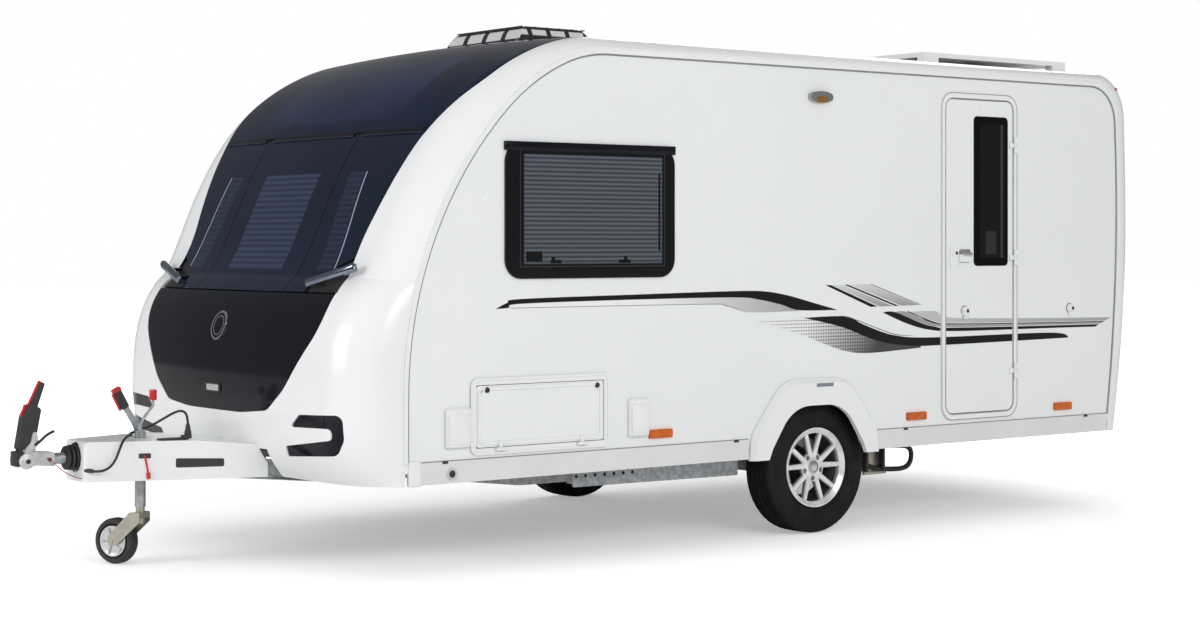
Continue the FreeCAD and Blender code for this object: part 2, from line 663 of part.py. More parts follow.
def side_windows():
    panes, blinds = [], []
    for side, x, z, radius in WINDOWS:
        pane = prism(rectangle(x, z, radius), "xz", FACE, FACE + PANE_THICK)
        panes.append(on_side(side, pane))
        hole = grown(x, -WINDOW_LAP), grown(z, -WINDOW_LAP)
        outer = rectangle(grown(hole[0], 26.0), grown(hole[1], 26.0), 40.0)
        inner = rectangle(grown(hole[0], -4.0), grown(hole[1], -4.0), 30.0)
        surround = ring(outer, inner, "xz", INNER_FACE - 20.0, INNER_FACE)
        sheet = prism(rectangle(grown(hole[0], 4.0), grown(hole[1], 4.0), 30.0), "xz",
                      INNER_FACE - 16.0, INNER_FACE - 12.0)
        blinds.append(on_side(side, surround.fuse(sheet)))
    return panes, blinds


def side_strip(near, far, proud):
    """A strip on each side wall that follows the side outline between two insets."""
    strip = side_slab((FACE, FACE + proud), near, SKIRT_Z[1])
    return both(strip.cut(side_slab((FACE - 5.0, FACE + 20.0), far, 0.0)))


# ---- front and rear panels --------------------------------------------------------------------


def front_panels(outer, cavity):
    """Moulding, panes, skylight, lid and the handle recesses, cut from the front of the shell."""
    shell = clip(outer.cut(cavity), x=(ROOF_FRONT_X, 4000.0), z=(MOULDING_FOOT, 4000.0))
    shell = shell.cut(both(side_slab((INNER_FACE - 8.0, FACE + 80.0), EDGE_COVER, 0.0)))
    dark, lid_outline = mirror_outline(from_side(DARK)), mirror_outline(from_side(LID))
    moulding = shell.cut(prism(dark, "yz", SKYLIGHT_TOP_X, 3000.0))
    moulding = moulding.cut(prism(lid_outline, "yz", 2000.0, 3000.0))
    moulding = moulding.cut(box((2400.0, 3000.0), (-DRAWBAR_SLOT, DRAWBAR_SLOT), (300.0, DRAWBAR_SLOT_TOP)))
    recesses = both(prism(from_side(RECESS), "yz", 1000.0, 3000.0))
    glass = shell.common(prism(inset(dark, PANEL_GAP), "yz", SKYLIGHT_TOP_X + PANEL_GAP, 3000.0))
    windows = clip(glass, z=(SEAM_Z, SKYLIGHT_SEAM_Z - PANEL_GAP)).cut(recesses)
    middle = clip(windows, y=(-PANE_HALF, PANE_HALF))
    left = clip(windows, y=(PANE_HALF + PANE_GAP, 2000.0))
    skylight = clip(glass, z=(SKYLIGHT_SEAM_Z, 4000.0))
    deep = front_low(RECESS_DEPTH).fuse(front_high(RECESS_DEPTH))
    pocket = both(prism(inset(from_side(RECESS), PANEL_GAP), "yz", 2000.0, 3000.0))
    recess = clip(deep.cut(cavity), x=(2000.0, 4000.0), z=(SEAM_Z, 1400.0)).common(pocket)
    lid = shell.common(prism(inset(lid_outline, LID_GAP), "yz", 2000.0, 3000.0))
    seat = front_low(RECESS_DEPTH - SEAT_GAP).fuse(front_high(RECESS_DEPTH - SEAT_GAP))
    bars = both(grab_handle(seat)).cut(seat)
    wrap = from_side(INSERT)
    moulding = moulding.cut(both(prism(wrap, "yz", 2400.0, 3000.0)).cut(front_low(INSERT_DEPTH)))
    return moulding, [middle, left, mirrored(left)], skylight, lid, recess, bars


def bumper_inserts():
    """Inserts sunk in the bumper, each wrapped round a tongue of the moulding."""
    insert = both(prism(inset(from_side(INSERT), PANEL_GAP), "yz", 2400.0, 3000.0))
    return insert.common(front_low(INSERT_DEPTH - INSERT_THICK)).cut(front_low(INSERT_DEPTH - SEAT_GAP))


def gas_locker(cavity):
    """The locker box, seated on the inside of the front, with a lip that the lid rests on."""
    foot, top = LID_FOOT - 24.0, SEAM_Z + 23.0
    outer = box((LOCKER_BACK_X, 3000.0), (-LOCKER_HALF, LOCKER_HALF), (foot, top))
    room = box((LOCKER_BACK_X + LOCKER_SKIN, 3000.0), (-LOCKER_HALF + LOCKER_SKIN, LOCKER_HALF - LOCKER_SKIN),
               (foot + LOCKER_SKIN, top - LOCKER_SKIN))
    lip = clip(cavity.cut(front_low(WALL + LOCKER_SKIN)), x=(LOCKER_BACK_X, 3000.0), y=(-450.0, 450.0),
               z=(foot, LID_FOOT + 22.0))
    return outer.common(cavity).cut(room).fuse(lip)


def floor_panel(cavity):
    y, z = (-INNER_FACE, INNER_FACE), (FLOOR_Z, FLOOR_Z + FLOOR_THICK)
    panel = box((ROOF_REAR_X - 20.0, FLOOR_FRONT_X), y, z)
    panel = panel.fuse(box((-2600.0, ROOF_REAR_X), y, z).common(cavity)).removeSplitter()
    for side in (1, -1):
        outer = box(grown(WHEEL_BOX_X, WHEEL_BOX_SKIN), (WHEEL_BOX_Y - WHEEL_BOX_SKIN, INNER_FACE),
                    (FLOOR_Z, WHEEL_BOX_TOP + WHEEL_BOX_SKIN))
        room = box(WHEEL_BOX_X, (WHEEL_BOX_Y, INNER_FACE + 10.0), (FLOOR_Z - 10.0, WHEEL_BOX_TOP))
        panel = panel.fuse(on_side(side, outer)).cut(on_side(side, room))
    return panel


def roof_panel(outer, cavity):
    shell = clip(outer.cut(cavity), x=(ROOF_REAR_X, ROOF_FRONT_X), z=(2000.0, 4000.0))
    shell = shell.cut(both(side_slab((INNER_FACE - 8.0, FACE + 80.0), EDGE_COVER, 0.0)))
    reach = (-ROOFLIGHT_Y, ROOFLIGHT_Y)
    hole = rectangle(grown(ROOFLIGHT_X, -ROOFLIGHT_FRAME - 10.0), grown(reach, -ROOFLIGHT_FRAME - 10.0), 30.0)
    return shell.cut(prism(hole, "xy", 2000.0, 3000.0))


def rear_moulding(outer, cavity):
    shell = clip(outer.cut(cavity), x=(-4000.0, ROOF_REAR_X), z=(MOULDING_FOOT, 4000.0))
    return shell.cut(both(side_slab((INNER_FACE - 8.0, FACE + 80.0), EDGE_COVER, 0.0)))


def rooflight(crust):
    """A frame on the roof and a hollow dome with an arched top."""
    reach = (-ROOFLIGHT_Y, ROOFLIGHT_Y)
    frame = ring(rectangle(ROOFLIGHT_X, reach, 60.0),
                 rectangle(grown(ROOFLIGHT_X, -ROOFLIGHT_FRAME), grown(reach, -ROOFLIGHT_FRAME), 40.0),
                 "xy", RAIL_HEIGHT, ROOFLIGHT_FOOT).cut(crust)
    profile = [(ROOFLIGHT_X[0] + 8.0, ROOFLIGHT_FOOT, 0.0), (ROOFLIGHT_X[0] + 40.0, ROOFLIGHT_TOP, 70.0),
               (ROOFLIGHT_X[1] - 40.0, ROOFLIGHT_TOP, 70.0), (ROOFLIGHT_X[1] - 8.0, ROOFLIGHT_FOOT, 0.0)]

    def dome(skin):
        side, top = ROOFLIGHT_Y - 8.0 - skin, ROOFLIGHT_TOP - skin
        ends = mirror_outline([(side, RAIL_HEIGHT), (side, ROOFLIGHT_FOOT + 6.0),
                               (ROOFLIGHT_Y - 45.0, top, 30.0)])
        return prism(inset(profile, skin), "xz", -side, side).common(prism(ends, "yz", *ROOFLIGHT_X))
    sheet = dome(0.0)
    opening = prism(rectangle(grown(ROOFLIGHT_X, -8.0 - ROOFLIGHT_SKIN * 2),
                              grown(reach, -8.0 - ROOFLIGHT_SKIN * 2)),
                    "xy", ROOFLIGHT_FOOT - 1.0, ROOFLIGHT_FOOT + 9.0)
    foot = clip(sheet, z=(ROOFLIGHT_FOOT, ROOFLIGHT_FOOT + 8.0))
    return frame, sheet.cut(dome(ROOFLIGHT_SKIN)).fuse(foot).cut(opening)


def solar_panel(crust):
    """A framed panel on four brackets."""
    panel = box(SOLAR_X, SOLAR_Y, SOLAR_Z)
    feet = []
    for x in (SOLAR_X[0], SOLAR_X[1] - SOLAR_FOOT[0]):
        for y in (SOLAR_Y[0], SOLAR_Y[1] - SOLAR_FOOT[1]):
            foot = box((x, x + SOLAR_FOOT[0]), (y, y + SOLAR_FOOT[1]), (RAIL_HEIGHT, SOLAR_Z[0]))
            feet.append(foot.cut(crust))
    return panel.multiFuse(feet)


def rear_lamps(crust):
    """Lamp clusters on the rear face and marker lamps high on its corners."""
    y, z = REAR_LAMP
    cluster = prism(rectangle(y, z, 30.0), "yz", -3000.0, -2000.0)
    cluster = both(cluster).common(rear_low(-REAR_LAMP_PROUD)).cut(crust)
    marker = prism(rectangle((-30.0, 30.0), (-52.0, 52.0), 22.0), "xz", -60.0, 22.0)
    marker.rotate(V(0, 0, 0), V(0, 0, 1), HIGH_LAMP_TURN - 90.0)
    marker.translate(V(*HIGH_LAMP))
    marker = max(marker.cut(crust).Solids, key=lambda solid: solid.Volume)
    return cluster, both(marker)


# ---- trim on the sides ------------------------------------------------------------------------


def marker_lamps():
    lamps = []
    for x in LAMPS_X:
        lamp = prism(rectangle(x, LAMP_Z, 6.0), "xz", FACE, FACE + 12.0)
        lamps.append(both(lamp))
    return lamps


def bevelled_cover(x, z, depth, bevel, radius):
    cover = prism(rectangle(x, z, radius), "xz", FACE, FACE + depth)
    edges = [edge for edge in cover.Edges if edge.BoundBox.YMin > FACE + depth - 0.01]
    return cover.makeChamfer(bevel, edges)


def outlet_covers():
    return [on_side(side, bevelled_cover(x, z, 24.0, 9.0, 14.0)) for side, x, z in OUTLETS]


def fridge_vents():
    vents = []
    for x, z in VENTS:
        vent = bevelled_cover(x, z, 12.0, 5.0, 12.0)
        for i in range(6):
            low = z[0] + 30.0 + i * 26.0
            vent = vent.cut(box(grown(x, -28.0), (FACE + 3.0, FACE + 20.0), (low, low + 12.0)))
        vents.append(mirrored(vent))
    return vents


def awning_lamp():
    x, z = AWNING_LAMP
    middle = (z[0] + z[1]) / 2.0
    lamp = prism([(x[0], middle, 20.0), ((x[0] + x[1]) / 2.0, z[0], 190.0), (x[1], middle, 20.0),
                  ((x[0] + x[1]) / 2.0, z[1], 190.0)], "xz", FACE, FACE + 26.0)
    return lamp


def wheel_spats():
    outer = prism(arch_outline(SPAT), "xz", FACE, FACE + SPAT_PROUD)
    edges = [edge for edge in outer.Edges if edge.BoundBox.YMin > FACE + SPAT_PROUD - 0.01
             and edge.BoundBox.ZMax > SPAT[0][1] + 1.0]
    outer = outer.makeChamfer(22.0, edges)
    hollow = prism(arch_outline(SPAT, -8.0), "xz", FACE - 1.0, FACE + SPAT_PROUD - 24.0)
    spat = outer.cut(hollow).cut(prism(arch_outline(ARCH), "xz", FACE - 1.0, FACE + SPAT_PROUD + 1.0))
    spat = spat.cut(box((SPAT_X - 318.0, SPAT_X + 318.0), (FACE - 1.0, FACE + 60.0), (300.0, 396.0)))
    return both(spat)


def side_skirts():
    skirts = []
    cx, cz, radius = rear_chain()[-1][:3]
    rear_x = cx - math.sqrt(radius ** 2 - (cz - SKIRT_Z[0]) ** 2) + EDGE_COVER + 8.0
    for x in ((SPAT_X + SPAT[0][0] + 1.0, FRONT_X - 92.0), (rear_x, SPAT_X - SPAT[0][0] - 1.0)):
        skin = box(x, (FACE, FACE + SKIRT_PROUD), SKIRT_Z)
        lip = box(x, (FACE - 26.0, FACE + SKIRT_PROUD), (SKIRT_Z[0], SKIRT_Z[0] + 3.0))
        web = box(x, (FACE - 26.0, FACE - 23.0), (SKIRT_Z[0], FLOOR_Z))
        skirts.append(both(skin.fuse(lip).fuse(web)))
    return skirts


# ---- chassis ----------------------------------------------------------------------------------


def chassis_rails():
    corners = [(RAIL_X[1], FLOOR_Z)] + list(RAIL_FOOT) + [(RAIL_X[0], FLOOR_Z)]
    y = (RAIL_Y - RAIL_FLANGE / 2.0, RAIL_Y + RAIL_FLANGE / 2.0)
    rail = prism(corners, "xz", y[0], y[1])
    front, rear = RAIL_X[1] + 5.0, RAIL_X[0] - 5.0
    inner = [(front, FLOOR_Z - RAIL_SKIN), (front, RAIL_FOOT[0][1] + RAIL_SKIN)]
    inner += [(x, z + RAIL_SKIN) for x, z in RAIL_FOOT[1:-1]]
    inner += [(rear, RAIL_FOOT[-1][1] + RAIL_SKIN), (rear, FLOOR_Z - RAIL_SKIN)]
    rail = rail.cut(prism(inner, "xz", y[0] - 1.0, y[1] - RAIL_SKIN))
    for x in RAIL_HOLES_X:
        rail = rail.cut(rod((x, y[1] - 20.0, 375.0), (x, y[1] + 20.0, 375.0), 32.0))
    axle = rod((AXLE_TUBE_X, y[0] - 5.0, AXLE_TUBE_Z), (AXLE_TUBE_X, y[1] + 5.0, AXLE_TUBE_Z), AXLE_TUBE_R)
    return both(rail.cut(axle))


def beam(start, end, half_y, half_z):
    """A straight beam with upright end faces, from (x, y, z) to (x, y, z)."""
    wires = []
    for x, y, z in (start, end):
        corners = rectangle((y - half_y, y + half_y), (z - half_z, z + half_z))
        wires.append(outline(corners, "yz", x))
    return Part.makeLoft(wires, True, True)


def drawbars():
    start, end = DRAWBAR
    bar = beam(start, end, DRAWBAR_W / 2.0, DRAWBAR_H / 2.0)
    shift = RAIL_SKIN * 2.0
    room = beam((start[0] + 1.0, start[1] + shift, start[2]), (end[0] - 1.0, end[1] + shift, end[2]),
                DRAWBAR_W / 2.0, DRAWBAR_H / 2.0 - RAIL_SKIN)
    return both(bar.cut(room))


def drawbar_inside(x):
    """Half width between the drawbars at x."""
    start, end = DRAWBAR
    return start[1] - DRAWBAR_W / 2.0 + (end[1] - start[1]) * (start[0] - x) / (start[0] - end[0])


def cross_members():
    members = []
    reach = RAIL_Y + RAIL_FLANGE / 2.0 - RAIL_SKIN
    for x in CROSS_X:
        half = CROSS_W / 2.0
        tube = box((x - half, x + half), (-reach, reach), (FLOOR_Z - 48.0, FLOOR_Z - RAIL_SKIN))
        members.append(tube.cut(box((x - half + 4.0, x + half - 4.0), (-reach - 1, reach + 1),
                                    (FLOOR_Z - 44.0, FLOOR_Z - 8.0))))
    return members


def axle_beam():
    """Axle tube with its trailing arms, stub axles and brake back plates."""
    reach = RAIL_Y + RAIL_FLANGE / 2.0 + 78.0
    tube = rod((AXLE_TUBE_X, -reach, AXLE_TUBE_Z), (AXLE_TUBE_X, reach, AXLE_TUBE_Z), AXLE_TUBE_R)
    whole = tube
    for side in (1, -1):
        front, rear = AXLE_TUBE_X + 52.0, -36.0
        arm = prism([(front, AXLE_TUBE_Z - 52.0, 48.0), (front, AXLE_TUBE_Z + 52.0, 48.0),
                     (rear, WHEEL_R + 36.0, 34.0), (rear, WHEEL_R - 36.0, 34.0)],
                    "xz", reach - 12.0, reach + 26.0)
        stub = rod((0, reach + 10.0, WHEEL_R), (0, WHEEL_FACE_Y - 72.0, WHEEL_R), 19.0)
        plate = rod((0, reach + 26.0, WHEEL_R), (0, reach + 34.0, WHEEL_R), 128.0)
        whole = whole.multiFuse([on_side(side, part) for part in (arm, stub, plate)])
    return whole


# ---- wheels -----------------------------------------------------------------------------------


def revolve(profile, y_axis_at=(0.0, 0.0)):
    """Revolve (radius, y) points with corner radii about the y axis through (x, z)."""
    wire = outline(profile, "xy", 0.0)
    solid = Part.Face(wire).revolve(V(0, 0, 0), V(0, 1, 0), 360)
    solid.translate(V(y_axis_at[0], 0, y_axis_at[1]))
    return solid


def tyre():
    middle = WHEEL_FACE_Y - RIM_W / 2.0
    inner, outer = middle - TYRE_W / 2.0, middle + TYRE_W / 2.0
    rim_in, rim_out = middle - RIM_W / 2.0, middle + RIM_W / 2.0
    profile = [(BEAD_R + 1.0, rim_in + 14.0), (RIM_R + 2.0, rim_in + 10.0), (244.0, inner - 2.0, 60.0),
               (306.0, inner + 8.0), (WHEEL_R, inner + 20.0, 18.0), (WHEEL_R, outer - 20.0, 18.0),
               (306.0, outer - 8.0), (244.0, outer + 2.0, 60.0), (RIM_R + 2.0, rim_out - 10.0),
               (BEAD_R + 1.0, rim_out - 14.0)]
    return revolve(profile, (0.0, WHEEL_R))


def spoke(angle, lean):
    """One spoke, from the hub towards the rim, turned about the wheel's axis."""
    face = WHEEL_FACE_Y - 12.0
    wires = []
    for half, back, front, z in ((15.0, face - 40.0, face - 12.0, 40.0),
                                 (11.0, face - 26.0, face - 4.0, BEAD_R - 4.0)):
        corners = [(-half, back), (half, back), (half, front - 4.0), (half - 4.0, front), (4.0 - half, front),
                   (-half, front - 4.0)]
        wires.append(outline(corners, "xy", z))
    arm = Part.makeLoft(wires, True, True)
    arm.rotate(V(0, 0, 40.0), V(0, 1, 0), lean)
    arm.rotate(V(0, 0, 0), V(0, 1, 0), angle)
    return arm


def rim():
    middle = WHEEL_FACE_Y - RIM_W / 2.0
    low, high = middle - RIM_W / 2.0, middle + RIM_W / 2.0
    well = 150.0
    profile = [(RIM_R, low), (RIM_R, low + 7.0), (BEAD_R, low + 13.0), (BEAD_R, low + 34.0),
               (well, low + 52.0), (well, low + 76.0), (BEAD_R, high - 46.0), (BEAD_R, high - 13.0),
               (RIM_R, high - 7.0),
               (RIM_R, high), (RIM_R - 6.0, high), (BEAD_R - 8.0, high - 14.0), (BEAD_R - 8.0, high - 44.0),
               (well - 8.0, low + 78.0), (well - 8.0, low + 50.0), (BEAD_R - 8.0, low + 32.0),
               (BEAD_R - 8.0, low + 12.0), (RIM_R - 6.0, low)]
    barrel = revolve(profile)
    face = WHEEL_FACE_Y - 12.0
    disc = revolve([(0.0, face - 42.0), (76.0, face - 42.0), (72.0, face - 14.0), (36.0, face - 10.0),
                    (0.0, face - 10.0)])
    spokes = []
    for i in range(SPOKE_PAIRS):
        angle = 360.0 / SPOKE_PAIRS * i
        for side in (1, -1):
            spokes.append(spoke(angle + side * SPOKE_SPREAD * 0.55, side * SPOKE_SPREAD * 0.75))
    whole = disc
    for arm in spokes:
        whole = whole.fuse(arm)
    whole = whole.fuse(barrel)
    for i in range(SPOKE_PAIRS):
        angle = math.radians(360.0 / SPOKE_PAIRS * (i + 0.5))
        x, z = BOLT_CIRCLE_R * math.sin(angle), BOLT_CIRCLE_R * math.cos(angle)
        whole = whole.cut(rod((x, face - 26.0, z), (x, face + 10.0, z), 13.0))
    whole.translate(V(0, 0, WHEEL_R))
    return whole


def hub():
    """Brake drum and hub, turning on the stub axle, with the bolt heads and the cap."""
    face = WHEEL_FACE_Y - 12.0
    back = RAIL_Y + RAIL_FLANGE / 2.0 + 78.0 + 34.0 + 3.0
    seat = face - 42.0
    profile = [(19.3, back + 20.0), (118.0, back + 20.0), (118.0, back), (124.0, back), (124.0, back + 62.0),
               (70.0, seat), (19.3, seat)]
    return revolve(profile, (0.0, WHEEL_R))


# ---- hitch ------------------------------------------------------------------------------------


def coupling_head():
    cup = rod((BALL_X, 0, BALL_Z - 24.0), (BALL_X, 0, BALL_Z + 48.0), 42.0)
    nose = rod((BALL_X, 0, BALL_Z - 20.0), (BALL_X, 0, BALL_Z + 40.0), 52.0)
    nose = clip(nose, x=(BALL_X, 4000.0))
    nose.translate(V(COUPLING_NOSE - 52.0, 0, 0))
    neck = beam((BALL_X, 0, BALL_Z + 10.0), (BALL_X - 118.0, 0, BALL_Z), 34.0, 30.0)
    cheek = rod((BALL_X, -52.0, BALL_Z + 4.0), (BALL_X, 52.0, BALL_Z + 4.0), 31.0)
    head = cup.multiFuse([nose, neck, cheek])
    head = head.cut(rod((BALL_X, 0, BALL_Z - 40.0), (BALL_X, 0, BALL_Z + 6.0), BALL_R))
    head = head.cut(Part.makeSphere(BALL_R, V(BALL_X, 0, BALL_Z + 6.0)))
    return head.cut(rod((BALL_X - 140.0, 0, BALL_Z), (BALL_X - 80.0, 0, BALL_Z), DRAWTUBE_R + 0.3))


def stabiliser_handle():
    x, z = BALL_X, BALL_Z + 48.0
    arm = prism([(x + 46.0, z, 10.0), (x + 20.0, z + 150.0, 60.0), (x - 20.0, z + 205.0, 20.0),
                 (x - 62.0, z + 170.0, 10.0), (x - 30.0, z, 20.0)], "xz", -23.0, 23.0)
    grip = prism([(x - 10.0, z + 185.0, 0.0), (x - 62.0, z + 290.0, 8.0), (x - 84.0, z + 282.0, 8.0),
                  (x - 46.0, z + 172.0, 0.0)], "xz", -12.0, 12.0)
    return arm.fuse(grip)


def drawtube():
    """Draw tube with the overrun housing that is bolted between the drawbars."""
    tube = rod((3180.0, 0, BALL_Z), (BALL_X - 80.5, 0, BALL_Z), DRAWTUBE_R)
    ends = (3400.0, 3230.0)
    wedge = [(x, side * drawbar_inside(x)) for side in (1, -1) for x in ends[::side]]
    housing = prism(wedge, "xy", 450.0, 550.0)
    collar = rod((3400.0, 0, BALL_Z), (3420.0, 0, BALL_Z), 40.0)
    return tube.fuse(housing).fuse(collar)


def bellows():
    """Rubber bellows over the draw tube, its folds turned from one profile."""
    inner = DRAWTUBE_R + 1.0
    profile = [(inner, 0.0)]
    for i in range(4):
        outer, at = 62.0 - 3.0 * i, 19.0 * i
        profile += [(outer - 3.0, 4.0 + at), (outer, 7.0 + at), (outer, 11.0 + at), (outer - 3.0, 14.0 + at),
                    (outer - 20.0, 19.0 + at)]
    profile += [(inner, 19.0 * 4)]
    solid = Part.Face(outline(profile, "xy", 0.0)).revolve(V(0, 0, 0), V(0, 1, 0), 360)
    solid.rotate(V(0, 0, 0), V(0, 0, 1), -90)
    solid.translate(V(3420.5, 0, BALL_Z))
    return solid


def a_frame_fairing(crust):
    nose, half = FAIRING_NOSE

    def form(skin):
        plan = [(nose - skin, half - skin, 20.0), (FAIRING_REAR_X, FAIRING_REAR_HALF - skin, 0.0)]
        plan = plan + [(x, -y, r) for x, y, r in plan[::-1]]
        side = [(nose, FAIRING_Z[0] - skin, 0.0), (nose, FAIRING_Z[1] - skin, 24.0),
                (FLAP_X[0], FAIRING_Z[1] - 4.0 - skin, 60.0),
                (FAIRING_REAR_X, DRAWBAR_SLOT_TOP + 12.0 - skin, 0.0),
                (FAIRING_REAR_X, FAIRING_Z[0] - skin, 0.0)]
        return prism(plan, "xy", 300.0, 700.0).common(prism(side, "xz", -500.0, 500.0))
    fairing = clip(form(0.0).cut(form(FAIRING_SKIN)), x=(FAIRING_REAR_X + 0.1, 4000.0)).cut(crust)
    fairing = max(fairing.Solids, key=lambda solid: solid.Volume)
    fairing = fairing.cut(rod((JOCKEY_X, 0, 500.0), (JOCKEY_X, 0, 600.0), TUBE_R + 7.0))
    fairing = fairing.cut(rod((3400.0, 0, BALL_Z), (3500.0, 0, BALL_Z), 66.0))
    x, y = JOCKEY_X + LEVER_SHIFT[0], LEVER_SHIFT[1] - 46.0
    fairing = fairing.cut(box((x - 38.0, x + 42.0), (y - 12.0, y + 12.0), (500.0, 600.0)))
    return fairing, fairing.cut(both(beside_fairing(STEP_POCKET, -STEP_DEPTH, 20.0)))


def beside_fairing(outline_xz, inner, outer):
    """A prism through (x, z, radius) points on the fairing's left side, between two depths."""
    nose, half = FAIRING_NOSE
    turn = math.degrees(math.atan2(FAIRING_REAR_HALF - half, nose - FAIRING_REAR_X))
    stretch = math.cos(math.radians(turn))
    corners = [((x - nose) / stretch, z, r) for x, z, r in outline_xz]
    piece = prism(corners, "xz", inner, outer)
    piece.rotate(V(0, 0, 0), V(0, 0, 1), -turn)
    piece.translate(V(nose, half, 0))
    return piece


def fairing_fittings(fairing):
    """Black plates in the steps, the flap with the plug's holder, and the cable's gland."""
    plate = inset(STEP_POCKET, PANEL_GAP)
    plates = both(beside_fairing(plate, SEAT_GAP - STEP_DEPTH, STEP_PLATE - STEP_DEPTH))
    flap = prism(rectangle(FLAP_X, FLAP_Y, 8.0), "xy", FAIRING_Z[1] - 2.5, FAIRING_Z[1] + 3.5)
    x, y = PLUG_PLACE
    cup = rod((x + 8.0, y, FAIRING_Z[1] + 2.0), (x + 8.0, y, FAIRING_Z[1] + 16.0), PLUG_R + 9.0)
    flap = flap.fuse(cup)
    tip = V(*CABLE_ROUTE[0])
    way = (V(*CABLE_ROUTE[1]) - tip).normalize()
    gland = rod(tip - way * (GLAND_LENGTH + 14.0), tip, GLAND_R + 3.0, GLAND_R)
    gland = max(gland.cut(fairing).Solids, key=lambda solid: solid.CenterOfMass.y)
    return [solid for shape in (plates, flap.cut(plug()), gland) for solid in shape.Solids]


def plug():
    """The cable's plug, standing in its holder, with its strain relief on top."""
    x, y = PLUG_PLACE
    low = FAIRING_Z[1] + 3.5
    body = rod((x, y, low), (x, y, low + 30.0), PLUG_R)
    return body.fuse(rod((x, y, low + 30.0), (x, y, PLUG_TOP), PLUG_R - 2.0, PLUG_NECK_R))


def cord(name, route, diameter):
    """A tube along the route's straight runs, joined by tangent arcs as large as the runs allow."""
    places = [V(*point) for point in route]
    edges, radii = [], []
    last = places[0]
    for before, here, after in zip(places, places[1:], places[2:]):
        u, w = (before - here).normalize(), (after - here).normalize()
        half = u.getAngle(w) / 2.0
        reach = 0.45 * min(here.distanceToPoint(before), here.distanceToPoint(after))
        radius = reach * math.tan(half)
        middle = here + (u + w).normalize() * (radius / math.sin(half) - radius)
        begin, finish = here + u * reach, here + w * reach
        edges += [Part.LineSegment(last, begin).toShape(), Part.Arc(begin, middle, finish).toShape()]
        radii.append(round(radius))
        last = finish
    edges.append(Part.LineSegment(last, places[-1]).toShape())
    path = Part.Wire(edges)
    profile = Part.Wire([Part.makeCircle(diameter / 2.0, places[0], places[1] - places[0])])
    tube = path.makePipeShell([profile], True, False)
    filled = tube.Volume / (math.pi * diameter ** 2 / 4.0 * path.Length)
    print(name, "length", round(path.Length), "radii", radii, "volume ratio", round(filled, 4))
    return tube


def handbrake_lever():
    blade = prism([(3098.0, 452.0, 10.0), (3140.0, 452.0, 10.0), (3145.0, 600.0, 120.0), (3206.0, 700.0, 8.0),
                   (3184.0, 714.0, 8.0), (3108.0, 600.0, 120.0)], "xz", -50.0, -42.0)
    grip = prism([(3210.0, 690.0, 6.0), (3256.0, 775.0, 8.0), (3224.0, 792.0, 8.0), (3178.0, 708.0, 6.0)],
                 "xz", -57.0, -35.0)
    lever = blade.fuse(grip)
    lever.translate(V(*LEVER_SHIFT, 0))
    return lever


def jockey_clamp():
    y = drawbar_inside(JOCKEY_X) + DRAWBAR_W / 2.0
    plate = box((JOCKEY_X - 30.0, JOCKEY_X + 30.0), (-y, y), (440.0, 452.0))
    collar = rod((JOCKEY_X, 0, 430.0), (JOCKEY_X, 0, 506.0), 34.0)
    clamp = plate.fuse(collar).cut(rod((JOCKEY_X, 0, 400.0), (JOCKEY_X, 0, 600.0), CLAMP_R))
    return clamp.cut(drawbar_space())


def drawbar_space():
    start, end = DRAWBAR
    return both(beam(start, end, DRAWBAR_W / 2.0, DRAWBAR_H / 2.0))


def jockey_leg():
    """Outer tube with the winding handle; the stem turns inside it."""
    tube = rod((JOCKEY_X, 0, LEG_Z[0]), (JOCKEY_X, 0, LEG_Z[1]), TUBE_R)
    tube = tube.cut(rod((JOCKEY_X, 0, LEG_Z[0] - 1.0), (JOCKEY_X, 0, LEG_Z[1] - 12.0), STEM_R + 0.5))
    nut = rod((JOCKEY_X, 0, LEG_Z[1]), (JOCKEY_X, 0, LEG_Z[1] + 26.0), 11.0, 8.0)
    low, high = (JOCKEY_X, 0, LEG_Z[1] + 24.0), (JOCKEY_X - 20.0, 0, LEG_Z[1] + 60.0)
    grip_x = JOCKEY_X - 62.0
    crank = rod(low, high, 6.0)
    crank = crank.fuse(rod(high, (grip_x, 0, LEG_Z[1] + 110.0), 6.0))
    crank = crank.fuse(rod((grip_x, 0, LEG_Z[1] + 106.0), (grip_x, 0, LEG_Z[1] + 134.0), 6.0))
    knob = rod((grip_x, 0, LEG_Z[1] + 134.0), (grip_x, 0, LEG_Z[1] + 180.0), 16.0)
    return tube.multiFuse([nut, crank, knob])


def to_caster(shape):
    shape.rotate(V(0, 0, 0), V(0, 0, 1), JOCKEY_TURN)
    shape.translate(V(JOCKEY_X, 0, 0))
    return shape


def jockey_fork():
    stem = rod((0, 0, STEM_FOOT), (0, 0, 470.0), STEM_R)
    arms = []
    for y in (-39.0, 34.0):
        arms.append(prism([(-24.0, 196.0, 4.0), (-24.0, 238.0, 4.0), (30.0, 238.0, 20.0),
                           (CASTER + 20.0, JOCKEY_R + 22.0, 18.0), (CASTER + 20.0, JOCKEY_R - 20.0, 18.0),
                           (CASTER - 30.0, JOCKEY_R - 14.0, 18.0)], "xz", y, y + 5.0))
    bridge = box((-24.0, 24.0), (-39.0, 39.0), (212.0, 236.0))
    pin = rod((CASTER, -42.0, JOCKEY_R), (CASTER, 42.0, JOCKEY_R), 8.0)
    return to_caster(stem.multiFuse(arms + [bridge, pin]))


def jockey_wheel():
    half = JOCKEY_W / 2.0
    side = [(8.3, 28.0), (30.0, 28.0), (30.0, 14.0), (72.0, 10.0), (76.0, half - 4.0), (80.0, half),
            (90.0, half), (99.0, half - 5.0), (JOCKEY_R, half - 14.0)]
    profile = side + [(r, -y) for r, y in reversed(side)]
    return to_caster(revolve(profile, (CASTER, JOCKEY_R)))


